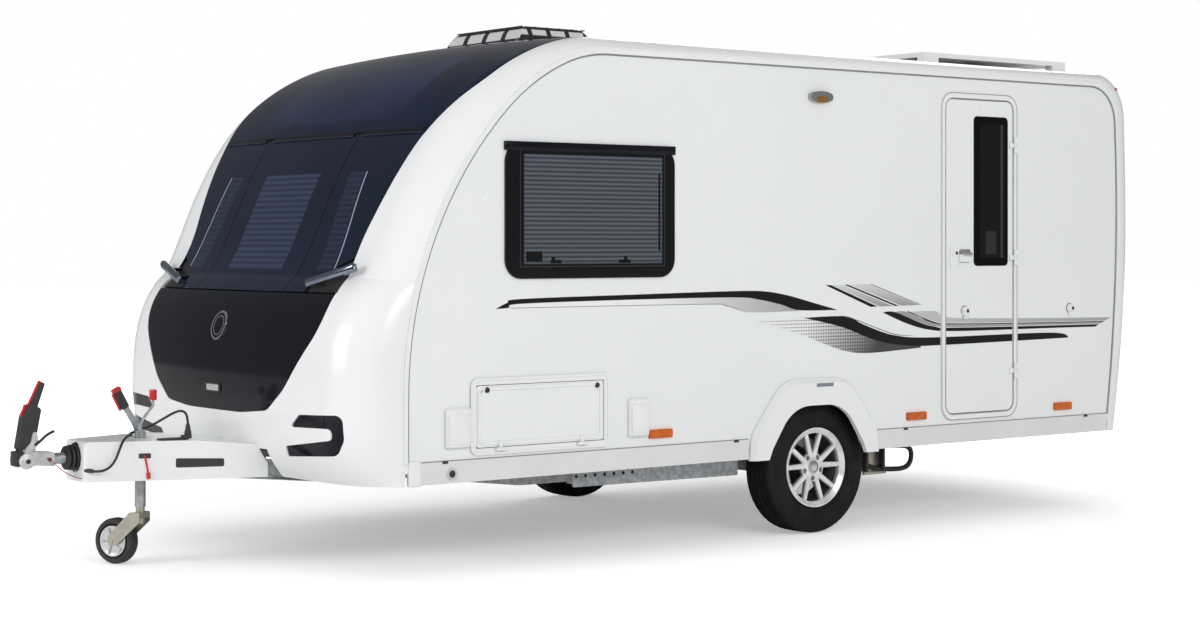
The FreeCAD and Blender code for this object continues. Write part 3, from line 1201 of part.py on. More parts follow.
# ---- corner steadies --------------------------------------------------------------------------


def steady(x, side, way):
    """Bracket under the floor and the folded leg, a channel with a foot plate at its end."""
    y = side * STEADY_Y
    leg = box((0, STEADY_LENGTH), (-25.0, 25.0), (-18.0, 22.0))
    leg = leg.cut(box((20.0, STEADY_LENGTH - 10.0), (-21.0, 21.0), (-14.0, 30.0)))
    leg = leg.fuse(rod((0, -25.0, 0), (0, 25.0, 0), 22.0)).cut(rod((0, -40.0, 0), (0, 40.0, 0), 6.3))
    foot = box((STEADY_LENGTH - 8.0, STEADY_LENGTH), (-45.0, 45.0), (-30.0, 26.0))
    leg = leg.fuse(foot)
    bracket = box((-30.0, 34.0), (-35.0, 35.0), (FLOOR_Z - STEADY_Z - 6.0, FLOOR_Z - STEADY_Z))
    for cheek in (-35.0, 30.0):
        bracket = bracket.fuse(box((-20.0, 20.0), (cheek, cheek + 5.0), (-16.0, FLOOR_Z - STEADY_Z)))
    bracket = bracket.fuse(rod((0, -35.0, 0), (0, 35.0, 0), 6.0))
    for shape in (leg, bracket):
        if way < 0:
            shape.rotate(V(0, 0, 0), V(0, 0, 1), 180)
        shape.translate(V(x, y, STEADY_Z))
    return leg, bracket


# ---- handles, lamps ---------------------------------------------------------------------------
def grab_handle(seat):
    """Front grab handle: a bar over its recess on two feet."""
    ends = []
    for edge, z, out in HANDLE_ENDS:
        y = HALF_WIDTH - edge
        ahead = Part.makeLine(V(1000.0, y, z), V(4000.0, y, z)).common(seat)
        ends.append(V(ahead.BoundBox.XMax + out, y, z))
    inner, outer = ends
    whole = rod(inner, outer, 12.0)
    for share in (0.1, 0.62):
        at = inner + (outer - inner) * share
        whole = whole.fuse(rod(at, at - V(130.0, 0, 0), 9.0))
    return whole


def main():
    os.makedirs("parts", exist_ok=True)
    outer = body_form(0.0)
    cavity = body_form(WALL)
    seat = body_form(WALL + SEAT_GAP)
    crust = body_form(-SEAT_GAP)
    moulding, panes, skylight, lid, recess, bars = front_panels(outer, cavity)
    save("front_moulding", moulding)
    save("front_windows", *panes)
    save("front_skylight", skylight)
    save("gas_locker_lid", lid)
    save("handle_recesses", recess)
    save("gas_locker_box", gas_locker(seat))
    save("floor_panel", floor_panel(seat))
    save("roof_panel", roof_panel(outer, cavity))
    save("rear_moulding", rear_moulding(outer, cavity))
    save("side_wall_left", side_wall(1))
    save("side_wall_right", side_wall(-1))
    frame, leaf, window = entrance_door()
    save("door_frame", frame)
    save("entrance_door", leaf)
    save("entrance_door_window", window)
    frames = []
    for name in FLAPS:
        flap_frame, flap_leaf = flap(name)
        frames.append(flap_frame)
        save(name, flap_leaf)
    save("locker_frames", *frames)
    panes, blinds = side_windows()
    save("side_windows", *panes)
    save("window_blinds", *blinds)
    save("awning_rails", side_strip(*AWNING_RAIL))
    save("edge_seals", side_strip(*EDGE_SEAL))
    save("side_skirts", *side_skirts())
    save("wheel_spats", wheel_spats())
    save("marker_lamps", *marker_lamps(), awning_lamp())
    save("outlet_covers", *outlet_covers())
    save("fridge_vents", *fridge_vents())
    save("bumper_inserts", bumper_inserts())
    save("rear_lamps", *rear_lamps(crust))
    save("rooflight", *rooflight(crust))
    save("solar_panel", solar_panel(crust))
    save("chassis_rails", chassis_rails())
    save("drawbars", drawbars())
    save("cross_members", *cross_members())
    save("axle_beam", axle_beam())
    for side, name in ((1, "left"), (-1, "right")):
        save("tyre_" + name, on_side(side, tyre()))
        save("rim_" + name, on_side(side, rim()))
        save("hub_" + name, on_side(side, hub()))
    brackets = []
    for name, x, side, way in STEADIES:
        leg, bracket = steady(x, side, way)
        brackets.append(bracket)
        save(name, leg)
    save("steady_brackets", *brackets)
    save("coupling_head", coupling_head())
    save("stabiliser_handle", stabiliser_handle())
    save("drawtube", drawtube())
    save("bellows", bellows())
    whole_fairing, fairing = a_frame_fairing(crust)
    save("a_frame_fairing", fairing)
    save("fairing_fittings", *fairing_fittings(whole_fairing))
    save("trailer_plug", plug())
    save("trailer_cable", cord("trailer_cable", CABLE_ROUTE, CABLE_D))
    save("breakaway_cable", cord("breakaway_cable", BREAKAWAY_ROUTE, BREAKAWAY_D))
    save("handbrake_lever", handbrake_lever())
    save("jockey_clamp", jockey_clamp())
    save("jockey_leg", jockey_leg())
    save("jockey_fork", jockey_fork())
    save("jockey_wheel", jockey_wheel())
    save("grab_handles", bars)
    for node, count in saved.items():
        print(node, count)


main()
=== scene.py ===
"""A single-axle touring caravan on a studio floor: finishes, glazing, trim, decor and small fittings."""
import bpy, bmesh, math
from mathutils import Matrix, Vector
from mathutils.bvhtree import BVHTree


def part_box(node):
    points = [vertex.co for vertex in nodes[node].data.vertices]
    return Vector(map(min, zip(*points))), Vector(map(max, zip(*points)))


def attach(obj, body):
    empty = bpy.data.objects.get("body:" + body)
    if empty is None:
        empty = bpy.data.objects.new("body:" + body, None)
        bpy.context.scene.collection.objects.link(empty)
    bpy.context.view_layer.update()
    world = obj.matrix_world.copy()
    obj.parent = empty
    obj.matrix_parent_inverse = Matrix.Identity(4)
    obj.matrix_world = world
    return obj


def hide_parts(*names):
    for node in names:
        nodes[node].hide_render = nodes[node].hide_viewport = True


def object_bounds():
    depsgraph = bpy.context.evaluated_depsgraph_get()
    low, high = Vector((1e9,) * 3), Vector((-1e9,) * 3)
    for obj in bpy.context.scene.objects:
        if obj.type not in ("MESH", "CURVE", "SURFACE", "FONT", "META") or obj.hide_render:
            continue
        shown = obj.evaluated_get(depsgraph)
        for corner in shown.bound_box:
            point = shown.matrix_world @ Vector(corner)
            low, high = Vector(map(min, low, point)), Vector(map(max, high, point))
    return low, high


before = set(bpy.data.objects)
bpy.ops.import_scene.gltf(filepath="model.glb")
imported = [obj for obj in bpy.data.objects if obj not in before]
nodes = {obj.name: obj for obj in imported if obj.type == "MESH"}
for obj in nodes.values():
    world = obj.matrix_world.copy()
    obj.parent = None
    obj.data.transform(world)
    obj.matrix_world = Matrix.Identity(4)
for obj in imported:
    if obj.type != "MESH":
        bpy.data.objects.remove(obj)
cad_low, cad_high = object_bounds()
scene = bpy.context.scene
scene.view_settings.view_transform = "Standard"

# ---- settings; lengths in metres in the row frame, x forward, y to the left side, z up ----
CAMERA_PLACE, CAMERA_TURN = (6.826, 8.983, 1.438), (90.0, 0.0, 142.38)
FOCAL_LENGTH, SENSOR_WIDTH, LENS_SHIFT, VIEW_END = 65.62, 36.0, -0.066, 200.0
FLOOR_HALF, FLOOR_DROP = 60.0, 0.001
FADE_FROM, FADE_TO = 2.6, 6.5     # distances at which the floor starts and ends to fade to white
FLOOR_GLOW = 0.36                 # what the camera adds to the floor's light under the caravan
SKY, MIRRORED_SKY = 0.6, 0.2      # strength of the surroundings, and of their mirror image
WHITE = (1.0, 1.0, 1.0, 1.0)
LAMPS = (
    # name, place, target, watts, size
    ("key_lamp", (1.8, 11.2, 5.0), (-0.5, 0.5, 1.0), 450.0, (7.0, 4.0)),
    ("front_lamp", (9.8, -0.5, 3.2), (1.5, 0.0, 0.6), 268.0, (4.0, 3.0)),
    ("rear_lamp", (-8.0, -6.0, 6.0), (0.0, 0.0, 1.2), 190.0, (5.0, 4.0)),
)
BODY = "caravan"
SIDES = ((1, "left"), (-1, "right"))
WALL_FACE, LEAF_FACE = 1.125, 1.128          # outer faces of the walls, and of door and locker flap
AXLE_X, AXLE_Z, TYRE_Y = -0.640, 0.325, 0.9675   # axle, and the middle of each tyre
JOCKEY_HUB, JOCKEY_TURN = (2.552, -0.1158, 0.1025), -63.0
LEVER_Y = -0.074                             # middle of the handbrake lever
DISC_X, DISC_Z = 3.045, 0.500                # middle of the stabiliser's discs


# ---- camera, cables, floor and light ----
def put(name, data):
    """A new object in the scene."""
    made = bpy.data.objects.new(name, data)
    scene.collection.objects.link(made)
    return made


def set_camera():
    lens = bpy.data.cameras.new("camera")
    lens.lens, lens.sensor_width, lens.sensor_fit = FOCAL_LENGTH, SENSOR_WIDTH, "HORIZONTAL"
    lens.shift_y, lens.clip_end = LENS_SHIFT, VIEW_END
    scene.camera = put("camera", lens)
    scene.camera.location = CAMERA_PLACE
    scene.camera.rotation_euler = [math.radians(turn) for turn in CAMERA_TURN]


# routes of the cables
CABLE = (
    (2.776, 0.125, 0.447), (2.764, 0.148, 0.446), (2.740, 0.168, 0.452), (2.714, 0.178, 0.470),
    (2.694, 0.183, 0.502), (2.679, 0.185, 0.542), (2.656, 0.172, 0.578), (2.620, 0.138, 0.592),
    (2.584, 0.094, 0.590), (2.558, 0.048, 0.587), (2.544, 0.004, 0.585), (2.528, -0.032, 0.586),
    (2.502, -0.055, 0.590), (2.470, -0.058, 0.598), (2.443, -0.040, 0.609), (2.426, -0.006, 0.624),
    (2.413, 0.038, 0.644), (2.399, 0.080, 0.665), (2.385, 0.118, 0.683), (2.373, 0.152, 0.693),
    (2.365, 0.181, 0.688), (2.362, 0.199, 0.666), (2.362, 0.203, 0.6388),
)
BREAKAWAY = (
    (2.805, 0.072, 0.412), (2.834, 0.068, 0.420), (2.866, 0.062, 0.436), (2.896, 0.058, 0.458),
    (2.922, 0.056, 0.484), (2.940, 0.050, 0.502), (2.946, 0.0353, 0.508),
)


def smooth_line(name, route, diameter):
    """A curve of round section through a route."""
    curve = bpy.data.curves.new(name, "CURVE")
    curve.dimensions, curve.bevel_depth, curve.bevel_resolution = "3D", diameter / 2.0, 4
    curve.use_fill_caps, curve.resolution_u = True, 12
    line = curve.splines.new("NURBS")
    line.points.add(len(route) - 1)
    for point, place in zip(line.points, route):
        point.co = (*place, 1.0)
    line.order_u, line.use_endpoint_u = 3, True
    return curve


def cord_curve(name, route, diameter, finish):
    curve = smooth_line(name, route, diameter)
    curve.materials.append(finish.mat)
    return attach(put(name, curve), BODY)


def add_cords():
    cable = cord_curve("electric_cable", CABLE, 0.011, cable_rubber)
    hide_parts("trailer_cable")
    wire = cord_curve("breakaway_wire", BREAKAWAY, 0.004, red_wire)
    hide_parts("breakaway_cable")


def set_floor():
    """A floor that holds the shadow near the caravan and fades to white away from it."""
    bm = bmesh.new()
    bmesh.ops.create_grid(bm, x_segments=1, y_segments=1, size=FLOOR_HALF)
    bmesh.ops.translate(bm, verts=bm.verts, vec=(0.0, 0.0, cad_low[2] - FLOOR_DROP))
    mesh = bpy.data.meshes.new("studio_floor")
    bm.to_mesh(mesh)
    bm.free()
    paper = Finish("studio_floor", (0.9, 0.9, 0.9), 0.9).sheen_of(0.0)
    reach = paper.node("ShaderNodeVectorMath", operation="LENGTH")
    paper.link(paper.place, reach.inputs[0])
    fade = paper.node("ShaderNodeMapRange", interpolation_type="SMOOTHSTEP",
                      From_Min=FADE_FROM, From_Max=FADE_TO, To_Min=FLOOR_GLOW, To_Max=1.0)
    paper.link(reach.outputs["Value"], fade.inputs["Value"])
    seen = paper.node("ShaderNodeLightPath").outputs["Is Camera Ray"]
    paper.level(Emission_Color=WHITE)
    paper.link(paper.math("MULTIPLY", fade.outputs["Result"], seen), paper.skin.inputs["Emission Strength"])
    mesh.materials.append(paper.mat)
    put("studio_floor", mesh)


def set_world():
    """Surroundings that are white to the eye and through glass, and dimmer as light and in mirrors."""
    scene.world = bpy.data.worlds.new("studio")
    scene.world.use_nodes = True
    sky = NodeTree(scene.world.node_tree)
    back = sky.tree.nodes["Background"]
    rays = sky.node("ShaderNodeLightPath").outputs
    seen = sky.math("MAXIMUM", rays["Is Camera Ray"], rays["Is Transmission Ray"])
    mirrored = sky.math("MULTIPLY", rays["Is Glossy Ray"], SKY - MIRRORED_SKY)
    sky.link(sky.math("SUBTRACT", sky.ramp(seen, 0.0, 1.0, SKY, 1.0), mirrored), back.inputs["Strength"])
    back.inputs["Color"].default_value = WHITE


def add_lamp(name, place, target, power, size):
    lamp = bpy.data.lights.new(name, "AREA")
    lamp.energy, lamp.shape, lamp.size, lamp.size_y = power, "RECTANGLE", *size
    holder = put(name, lamp)
    holder.location = place
    holder.rotation_euler = (Vector(target) - Vector(place)).to_track_quat("-Z", "Y").to_euler()


# ---- finishes ----
class NodeTree:
    """Short ways to add nodes to a tree."""

    def __init__(self, tree):
        self.tree = tree

    def node(self, kind, **values):
        made = self.tree.nodes.new(kind)
        for key, value in values.items():
            if hasattr(made, key):
                setattr(made, key, value)
            else:
                made.inputs[key.replace("_", " ")].default_value = value
        return made

    def link(self, source, target):
        self.tree.links.new(source, target)
        return self

    def feed(self, value, target):
        """Put a value or another node's output into a socket."""
        if isinstance(value, (int, float, tuple)):
            target.default_value = value
        else:
            self.link(value, target)

    def math(self, operation, *values):
        made = self.node("ShaderNodeMath", operation=operation)
        for value, target in zip(values, made.inputs):
            self.feed(value, target)
        return made.outputs[0]

    def ramp(self, value, start, end, low=0.0, high=1.0):
        made = self.node("ShaderNodeMapRange")
        for target, amount in zip(("Value", "From Min", "From Max", "To Min", "To Max"),
                                  (value, start, end, low, high)):
            self.feed(amount, made.inputs[target])
        return made.outputs["Result"]


class Finish(NodeTree):
    """A node material on object coordinates, built up in layers."""

    def __init__(self, name, colour, roughness, metallic=0.0):
        self.mat = bpy.data.materials.new(name)
        self.mat.use_nodes = True
        super().__init__(self.mat.node_tree)
        self.skin = self.tree.nodes["Principled BSDF"]
        self.level(Base_Color=(*colour, 1.0), Roughness=roughness, Metallic=metallic)
        self.place = self.node("ShaderNodeTexCoord").outputs["Object"]
        self.colour = colour
        self.split = None

    def level(self, **levels):
        """Set values of the shader."""
        for name, value in levels.items():
            self.skin.inputs[name.replace("_", " ")].default_value = value
        return self

    def axis(self, letter, outright=False):
        """One coordinate, or its size where the finish is the same on both sides."""
        if self.split is None:
            self.split = self.node("ShaderNodeSeparateXYZ")
            self.link(self.place, self.split.inputs[0])
        value = self.split.outputs[letter.upper()]
        return self.math("ABSOLUTE", value) if outright else value

    def between(self, value, low, high, soft=0.001):
        """1 between two levels, 0 outside."""
        return self.math("MULTIPLY", self.ramp(value, low - soft, low + soft),
                         self.ramp(value, high - soft, high + soft, 1.0, 0.0))

    def all_of(self, *masks):
        whole = masks[0]
        for mask in masks[1:]:
            whole = self.math("MULTIPLY", whole, mask)
        return whole

    def panel(self, x, z, soft=0.001):
        """1 inside a rectangle on the sides."""
        return self.all_of(self.between(self.axis("x"), *x, soft), self.between(self.axis("z"), *z, soft))

    def waves(self, value, count):
        """A sine along a coordinate, count being its turns times two pi to the metre."""
        return self.math("SINE", self.math("MULTIPLY", value, count))

    def blend(self, kind, base, before, factor, after):
        """Move a socket's value towards another by a factor."""
        mixer = self.node("ShaderNodeMix", data_type={"Color": "RGBA"}.get(kind, "FLOAT"))
        inputs, outputs = ({socket.identifier: socket for socket in row} for row in (mixer.inputs, mixer.outputs))
        self.feed(base.links[0].from_socket if base.is_linked else before, inputs["A_" + kind])
        self.feed(after, inputs["B_" + kind])
        self.feed(factor, inputs["Factor_Float"])
        return self.link(outputs["Result_" + kind], base)

    def mix(self, other, *masks):
        """Blend the colour towards another where all the masks are 1."""
        base = self.skin.inputs["Base Color"]
        return self.blend("Color", base, (*self.colour, 1.0), self.all_of(*masks), (*other, 1.0))

    def set_by(self, socket, factor, value):
        """Blend a shader value towards another by a mask."""
        target = self.skin.inputs[socket]
        return self.blend("Float", target, target.default_value, factor, value)

    def spots(self, scale, detail=2.0):
        noise = self.node("ShaderNodeTexNoise", Scale=scale, Detail=detail)
        self.link(self.place, noise.inputs["Vector"])
        return noise.outputs["Fac"]

    def vary(self, scale, other, low=0.35, high=0.65, detail=3.0):
        """Blend the colour towards another in soft patches."""
        return self.mix(other, self.ramp(self.spots(scale, detail), low, high))

    def gloss(self, scale, low, high):
        """Roughness that wanders between two levels."""
        return self.link(self.ramp(self.spots(scale, 4.0), 0.0, 1.0, low, high), self.skin.inputs["Roughness"])

    def grain(self, scale, depth, strength=0.4, source=None):
        """Bump from noise, or from another height."""
        bump = self.node("ShaderNodeBump", Strength=strength, Distance=depth)
        self.link(source or self.spots(scale, 3.0), bump.inputs["Height"])
        if self.skin.inputs["Normal"].is_linked:
            self.link(self.skin.inputs["Normal"].links[0].from_socket, bump.inputs["Normal"])
        return self.link(bump.outputs["Normal"], self.skin.inputs["Normal"])

    def sheen_of(self, level):
        """How strongly the surface mirrors its surroundings head on."""
        return self.level(Specular_IOR_Level=level)

    def coat(self, weight, roughness):
        return self.level(Coat_Weight=weight, Coat_Roughness=roughness)


def gloss_white(name, shade=None):
    """White moulded gloss; shade adds to it before the gloss is set."""
    made = Finish(name, (0.8, 0.808, 0.812), 0.18).sheen_of(0.35).vary(1.3, (0.78, 0.79, 0.795))
    if shade:
        shade(made)
    return made.gloss(6.0, 0.14, 0.24).grain(9.0, 0.0006, 0.25).coat(0.1, 0.08)


white_moulding = gloss_white("gloss_white_moulding")
white_panel = Finish("white_side_panel", (0.80, 0.815, 0.815), 0.24)
white_panel.vary(0.9, (0.775, 0.79, 0.795)).gloss(5.0, 0.2, 0.3).grain(55.0, 0.0002, 0.2).coat(0.3, 0.1)
black_gloss = Finish("black_gloss_moulding", (0.006, 0.007, 0.010), 0.1).sheen_of(0.16)
black_gloss.vary(1.2, (0.009, 0.010, 0.014)).gloss(7.0, 0.05, 0.13).grain(3.0, 0.0006, 0.12)
black_plastic = Finish("black_grained_plastic", (0.022, 0.022, 0.024), 0.5)
black_plastic.vary(14.0, (0.03, 0.03, 0.032)).gloss(30.0, 0.42, 0.6).grain(900.0, 0.0003, 0.35)
grey_plastic = Finish("light_grey_plastic", (0.5, 0.51, 0.515), 0.4)
grey_plastic.vary(6.0, (0.46, 0.47, 0.48)).gloss(20.0, 0.32, 0.46).grain(700.0, 0.0002, 0.25)
# the skirt's white is a little darker than the side panels' white: painted shade for its face turned slightly
# downward
white_skirt_shaded = Finish("white_lower_panel_shaded", (0.72, 0.72, 0.715), 0.36)
white_skirt_shaded.vary(3.0, (0.68, 0.68, 0.67)).gloss(22.0, 0.3, 0.44)
white_plastic = Finish("white_trim_plastic", (0.8, 0.81, 0.81), 0.3)
white_plastic.vary(5.0, (0.77, 0.78, 0.785)).gloss(16.0, 0.25, 0.36).grain(300.0, 0.0002, 0.2)
satin_aluminium = Finish("satin_aluminium", (0.74, 0.75, 0.76), 0.3, 0.9)
satin_aluminium.vary(8.0, (0.68, 0.69, 0.7)).gloss(24.0, 0.24, 0.38)
galvanised = Finish("galvanised_steel", (0.5, 0.52, 0.535), 0.42, 0.75)
galvanised.vary(38.0, (0.36, 0.38, 0.395), 0.4, 0.6, 1.0).gloss(50.0, 0.32, 0.58).grain(160.0, 0.0002, 0.3)
cast_silver = Finish("silver_casting", (0.66, 0.67, 0.68), 0.34, 0.6)
cast_silver.vary(22.0, (0.56, 0.57, 0.58)).gloss(40.0, 0.3, 0.5).grain(420.0, 0.0003, 0.4)
zinc_steel = Finish("zinc_plated_steel", (0.5, 0.47, 0.38), 0.34, 0.8)
zinc_steel.vary(26.0, (0.42, 0.4, 0.35)).gloss(40.0, 0.26, 0.45)
blue_chrome = Finish("dark_blue_chrome", (0.22, 0.25, 0.31), 0.14, 0.9)
blue_chrome.vary(7.0, (0.15, 0.18, 0.24)).gloss(20.0, 0.1, 0.2)
chrome = Finish("polished_chrome", (0.8, 0.81, 0.83), 0.08, 1.0)
chrome.vary(9.0, (0.72, 0.73, 0.76)).gloss(30.0, 0.05, 0.14)
# dark steel, also the colour of painted shadow round the catches and behind the slots of the side members
dark_steel_and_shadow = Finish("dark_steel_and_painted_shadow", (0.022, 0.022, 0.023), 0.55, 0.2)
dark_steel_and_shadow.vary(20.0, (0.04, 0.034, 0.028)).grain(300.0, 0.0003)
soft_rubber = Finish("black_rubber", (0.02, 0.02, 0.021), 0.62)
soft_rubber.vary(25.0, (0.032, 0.031, 0.03)).grain(500.0, 0.0002)
# grey rubber for the edge seals, also the grey of painted shade round the door frame, above the skirt and in the
# door handle's recess
grey_seal_and_shade = Finish("grey_seal_rubber_and_painted_shade", (0.2, 0.205, 0.21), 0.55)
grey_seal_and_shade.vary(12.0, (0.26, 0.265, 0.27)).grain(400.0, 0.0002)
tyre_rubber = Finish("tyre_rubber", (0.009, 0.009, 0.0095), 0.7).sheen_of(0.2)
tyre_rubber.vary(12.0, (0.015, 0.0148, 0.0145)).grain(380.0, 0.0003)
cable_rubber = Finish("cable_rubber", (0.014, 0.014, 0.015), 0.5)
cable_rubber.vary(40.0, (0.024, 0.024, 0.025)).grain(600.0, 0.0001)
red_wire = Finish("red_coated_wire", (0.42, 0.02, 0.015), 0.35)
red_wire.vary(60.0, (0.3, 0.015, 0.012)).grain(900.0, 0.0001)
red_plastic = Finish("red_plastic", (0.6, 0.012, 0.012), 0.32)
red_plastic.vary(18.0, (0.5, 0.01, 0.012)).gloss(30.0, 0.26, 0.4).grain(500.0, 0.0001, 0.2)
red_lens = Finish("red_lamp_lens", (0.5, 0.01, 0.012), 0.12)
red_lens.grain(0, 0.0008, 0.5, red_lens.waves(red_lens.axis("z"), 900.0)).vary(30.0, (0.4, 0.008, 0.01))
blind_cloth = Finish("pleated_blind", (0.6, 0.61, 0.6), 0.8)
blind_cloth.grain(0, 0.004, 0.6, blind_cloth.waves(blind_cloth.axis("z"), 314.0)).vary(30.0, (0.55, 0.56, 0.56))
floor_ply = Finish("sealed_plywood", (0.16, 0.12, 0.08), 0.6).vary(12.0, (0.1, 0.075, 0.05)).grain(60.0, 0.0006)


def pleat_shade(finish, pitch):
    """Painted shade across a pleated blind, light on each fold and dark between them."""
    return finish.ramp(finish.waves(finish.axis("z"), 2.0 * math.pi / pitch), -1.0, 1.0, 0.35, 1.0)


def front_acrylic():
    """Dark tinted acrylic painted navy as a reflection of the sky, with the closed blinds and a stay on each side
    just visible behind it.
    """
    # navy base colour: painted reflection of the sky
    made = Finish("front_acrylic_tint_and_painted_sky", (0.009, 0.013, 0.027), 0.06)
    made.sheen_of(0.16).vary(0.8, (0.012, 0.018, 0.038))
    y, z = made.axis("y", True), made.axis("z")
    height = made.between(z, 1.317, 1.756, 0.004)
    middle = made.all_of(height, made.between(y, -1.0, 0.25, 0.004))
    slant = made.math("ADD", y, made.math("MULTIPLY", made.math("SUBTRACT", z, 1.729), 0.12))
    side = made.all_of(height, made.between(slant, 0.5, 0.62, 0.004))
    # light and dark bands across both blinds: painted shade of their folds
    made.mix((0.035, 0.05, 0.09), middle, pleat_shade(made, 0.026))
    made.mix((0.022, 0.03, 0.055), side, pleat_shade(made, 0.026))
    made.mix((0.3, 0.34, 0.4), height, made.between(slant, 0.63, 0.638, 0.001))
    return made.gloss(4.0, 0.03, 0.08).grain(2.5, 0.0008, 0.12)


def skylight_acrylic():
    """Dark tinted acrylic over the front roof window, darker round its edge; its navy is a painted reflection of
    the sky.
    """
    made = Finish("skylight_acrylic_tint_and_painted_sky", (0.005, 0.009, 0.026), 0.08).sheen_of(0.14)
    y, z = made.axis("y", True), made.axis("z")
    # navy in the middle of the pane: painted reflection of the sky
    pane = made.all_of(made.between(y, -1.0, 0.62, 0.02), made.between(z, 2.0, 2.3, 0.01))
    return made.mix((0.014, 0.024, 0.062), pane).vary(2.0, (0.008, 0.014, 0.036)).gloss(5.0, 0.05, 0.11)


def side_acrylic():
    """Dark tinted acrylic with a black border, and a pleated blind with its fittings behind, its folds in painted
    shade.
    """
    made = Finish("tinted_side_acrylic", (0.006, 0.006, 0.007), 0.07).sheen_of(0.3)
    blind = made.panel((0.415, 1.2), (1.345, 1.83), 0.003)
    made.mix((0.10, 0.115, 0.135), blind, pleat_shade(made, 0.02))
    for x, z in (((1.1, 1.19), (1.354, 1.4)), ((0.995, 1.055), (1.346, 1.362)), ((1.03, 1.05), (1.36, 1.376)),
                 ((0.6, 0.67), (1.346, 1.362)), ((0.62, 0.64), (1.36, 1.378)), ((0.425, 0.437), (1.4, 1.76))):
        made.mix((0.006, 0.006, 0.007), blind, made.panel(x, z))
    line, inner = made.panel((0.398, 1.222), (1.33, 1.85)), made.panel((0.402, 1.218), (1.334, 1.846))
    made.mix((0.035, 0.037, 0.04), made.math("SUBTRACT", line, inner))
    return made.gloss(4.0, 0.03, 0.09).grain(2.5, 0.0008, 0.15)


def door_acrylic():
    """Dark tinted acrylic, with a strip of light and the blind's cassette behind it."""
    made = Finish("tinted_door_acrylic", (0.004, 0.004, 0.005), 0.07).sheen_of(0.12)
    pane = made.panel((-1.925, -1.735), (1.36, 2.06), 0.003)
    made.mix((0.009, 0.009, 0.010), pane)
    made.mix((0.05, 0.048, 0.042), pane, made.between(made.axis("x"), -1.91, -1.895, 0.002))
    made.mix((0.03, 0.03, 0.031), pane, made.panel((-1.86, -1.78), (1.38, 1.5), 0.003))
    return made.gloss(4.0, 0.03, 0.09).grain(2.5, 0.0008, 0.15)


def lamp_lens():
    """Amber side markers with a silver housing on the lamp above them."""
    made = Finish("amber_lens", (0.62, 0.13, 0.005), 0.18)
    made.sheen_of(0.3).vary(40.0, (0.5, 0.09, 0.004))
    made.grain(0, 0.0006, 0.4, made.waves(made.axis("x"), 1200.0))
    high = made.ramp(made.axis("z"), 1.49, 1.51)
    made.mix((0.4, 0.41, 0.42), high).mix((0.55, 0.28, 0.08), made.panel((-0.625, -0.55), (2.12, 2.158)))
    return made.set_by("Metallic", high, 0.8)


def wheel_metal():
    """Silver lacquer, bright on the turned face, with painted shade darkening it inside the barrel."""
    made = Finish("silver_wheel_lacquer", (0.88, 0.885, 0.89), 0.22, 0.36)
    made.vary(16.0, (0.7, 0.705, 0.71))
    # painted shade: near black and less metallic inside the barrel
    barrel_shade = made.ramp(made.axis("y", True), 1.024, 1.006)
    made.mix((0.045, 0.046, 0.048), barrel_shade).set_by("Metallic", barrel_shade, 0.4)
    return made.gloss(30.0, 0.14, 0.28)


def spat_recess_shade(made):
    """Painted shade marking the small recess on top of each spat."""
    made.mix((0.2, 0.215, 0.24), made.panel((-0.652, -0.538), (0.733, 0.751)))


def coupling_metal():
    """Silver casting with a black buffer over its nose."""
    made = Finish("silver_casting_with_black_nose", (0.6, 0.61, 0.62), 0.34, 0.6)
    made.vary(22.0, (0.46, 0.47, 0.48))
    nose = made.ramp(made.axis("x"), 3.055, 3.057)
    made.mix((0.012, 0.012, 0.013), nose).set_by("Metallic", nose, 0.0)
    return made.grain(420.0, 0.0003, 0.4)


def cell_glass():
    """Dark cells between silver lines inside a white frame."""
    made = Finish("solar_cells", (0.84, 0.845, 0.85), 0.35)
    x, y, z = made.axis("x"), made.axis("y"), made.axis("z")
    top = made.all_of(made.between(x, -2.72, -1.63), made.between(y, 0.2, 0.83), made.ramp(z, 2.4485, 2.4495))
    made.mix((0.012, 0.016, 0.05), top)
    for value, pitch in ((x, 0.109), (y, 0.105)):
        part = made.math("FRACT", made.math("DIVIDE", value, pitch))
        made.mix((0.4, 0.42, 0.45), top, made.between(part, 0.48, 0.52, 0.005))
    return made.gloss(20.0, 0.14, 0.22)


def roof_glazing():
    """Smoked roof window with lighter glazed strips between its dark hoops."""
    made = Finish("smoked_roof_glazing", (0.02, 0.021, 0.023), 0.3)
    bays = [made.between(made.math("FRACT", made.math("DIVIDE", made.axis(letter), pitch)), 0.12, 0.88, 0.01)
            for letter, pitch in (("x", 0.114), ("y", 0.165))]
    light = made.all_of(made.math("MINIMUM", *bays), made.between(made.axis("z"), 2.436, 2.483))
    made.mix((0.62, 0.63, 0.64), light)
    return made.gloss(14.0, 0.2, 0.36)


def tone(name, colour, other, axis, start, end):
    """Printed film that runs from one grey to another."""
    made = Finish(name, colour, 0.3)
    return made.mix(other, made.ramp(made.axis(axis), start, end)).grain(700.0, 0.0001, 0.15)


def dotted_film():
    """Grey printed film broken into dots that grow towards the rear."""
    made = Finish("grey_film_with_dots", (0.78, 0.79, 0.79), 0.3)
    x, z = made.axis("x"), made.axis("z")
    level = made.math("MULTIPLY", made.waves(made.math("ADD", x, z), 190.0),
                      made.waves(made.math("SUBTRACT", x, z), 190.0))
    need = made.ramp(x, -0.25, -0.9, 0.7, 0.25)
    made.mix((0.03, 0.03, 0.032), made.ramp(made.math("SUBTRACT", level, need), -0.05, 0.05))
    dark_end = made.math("ADD", x, made.math("MULTIPLY", z, 0.9))
    made.mix((0.05, 0.05, 0.053), made.ramp(dark_end, 0.42, -0.16))
    return made.grain(700.0, 0.0001, 0.15)


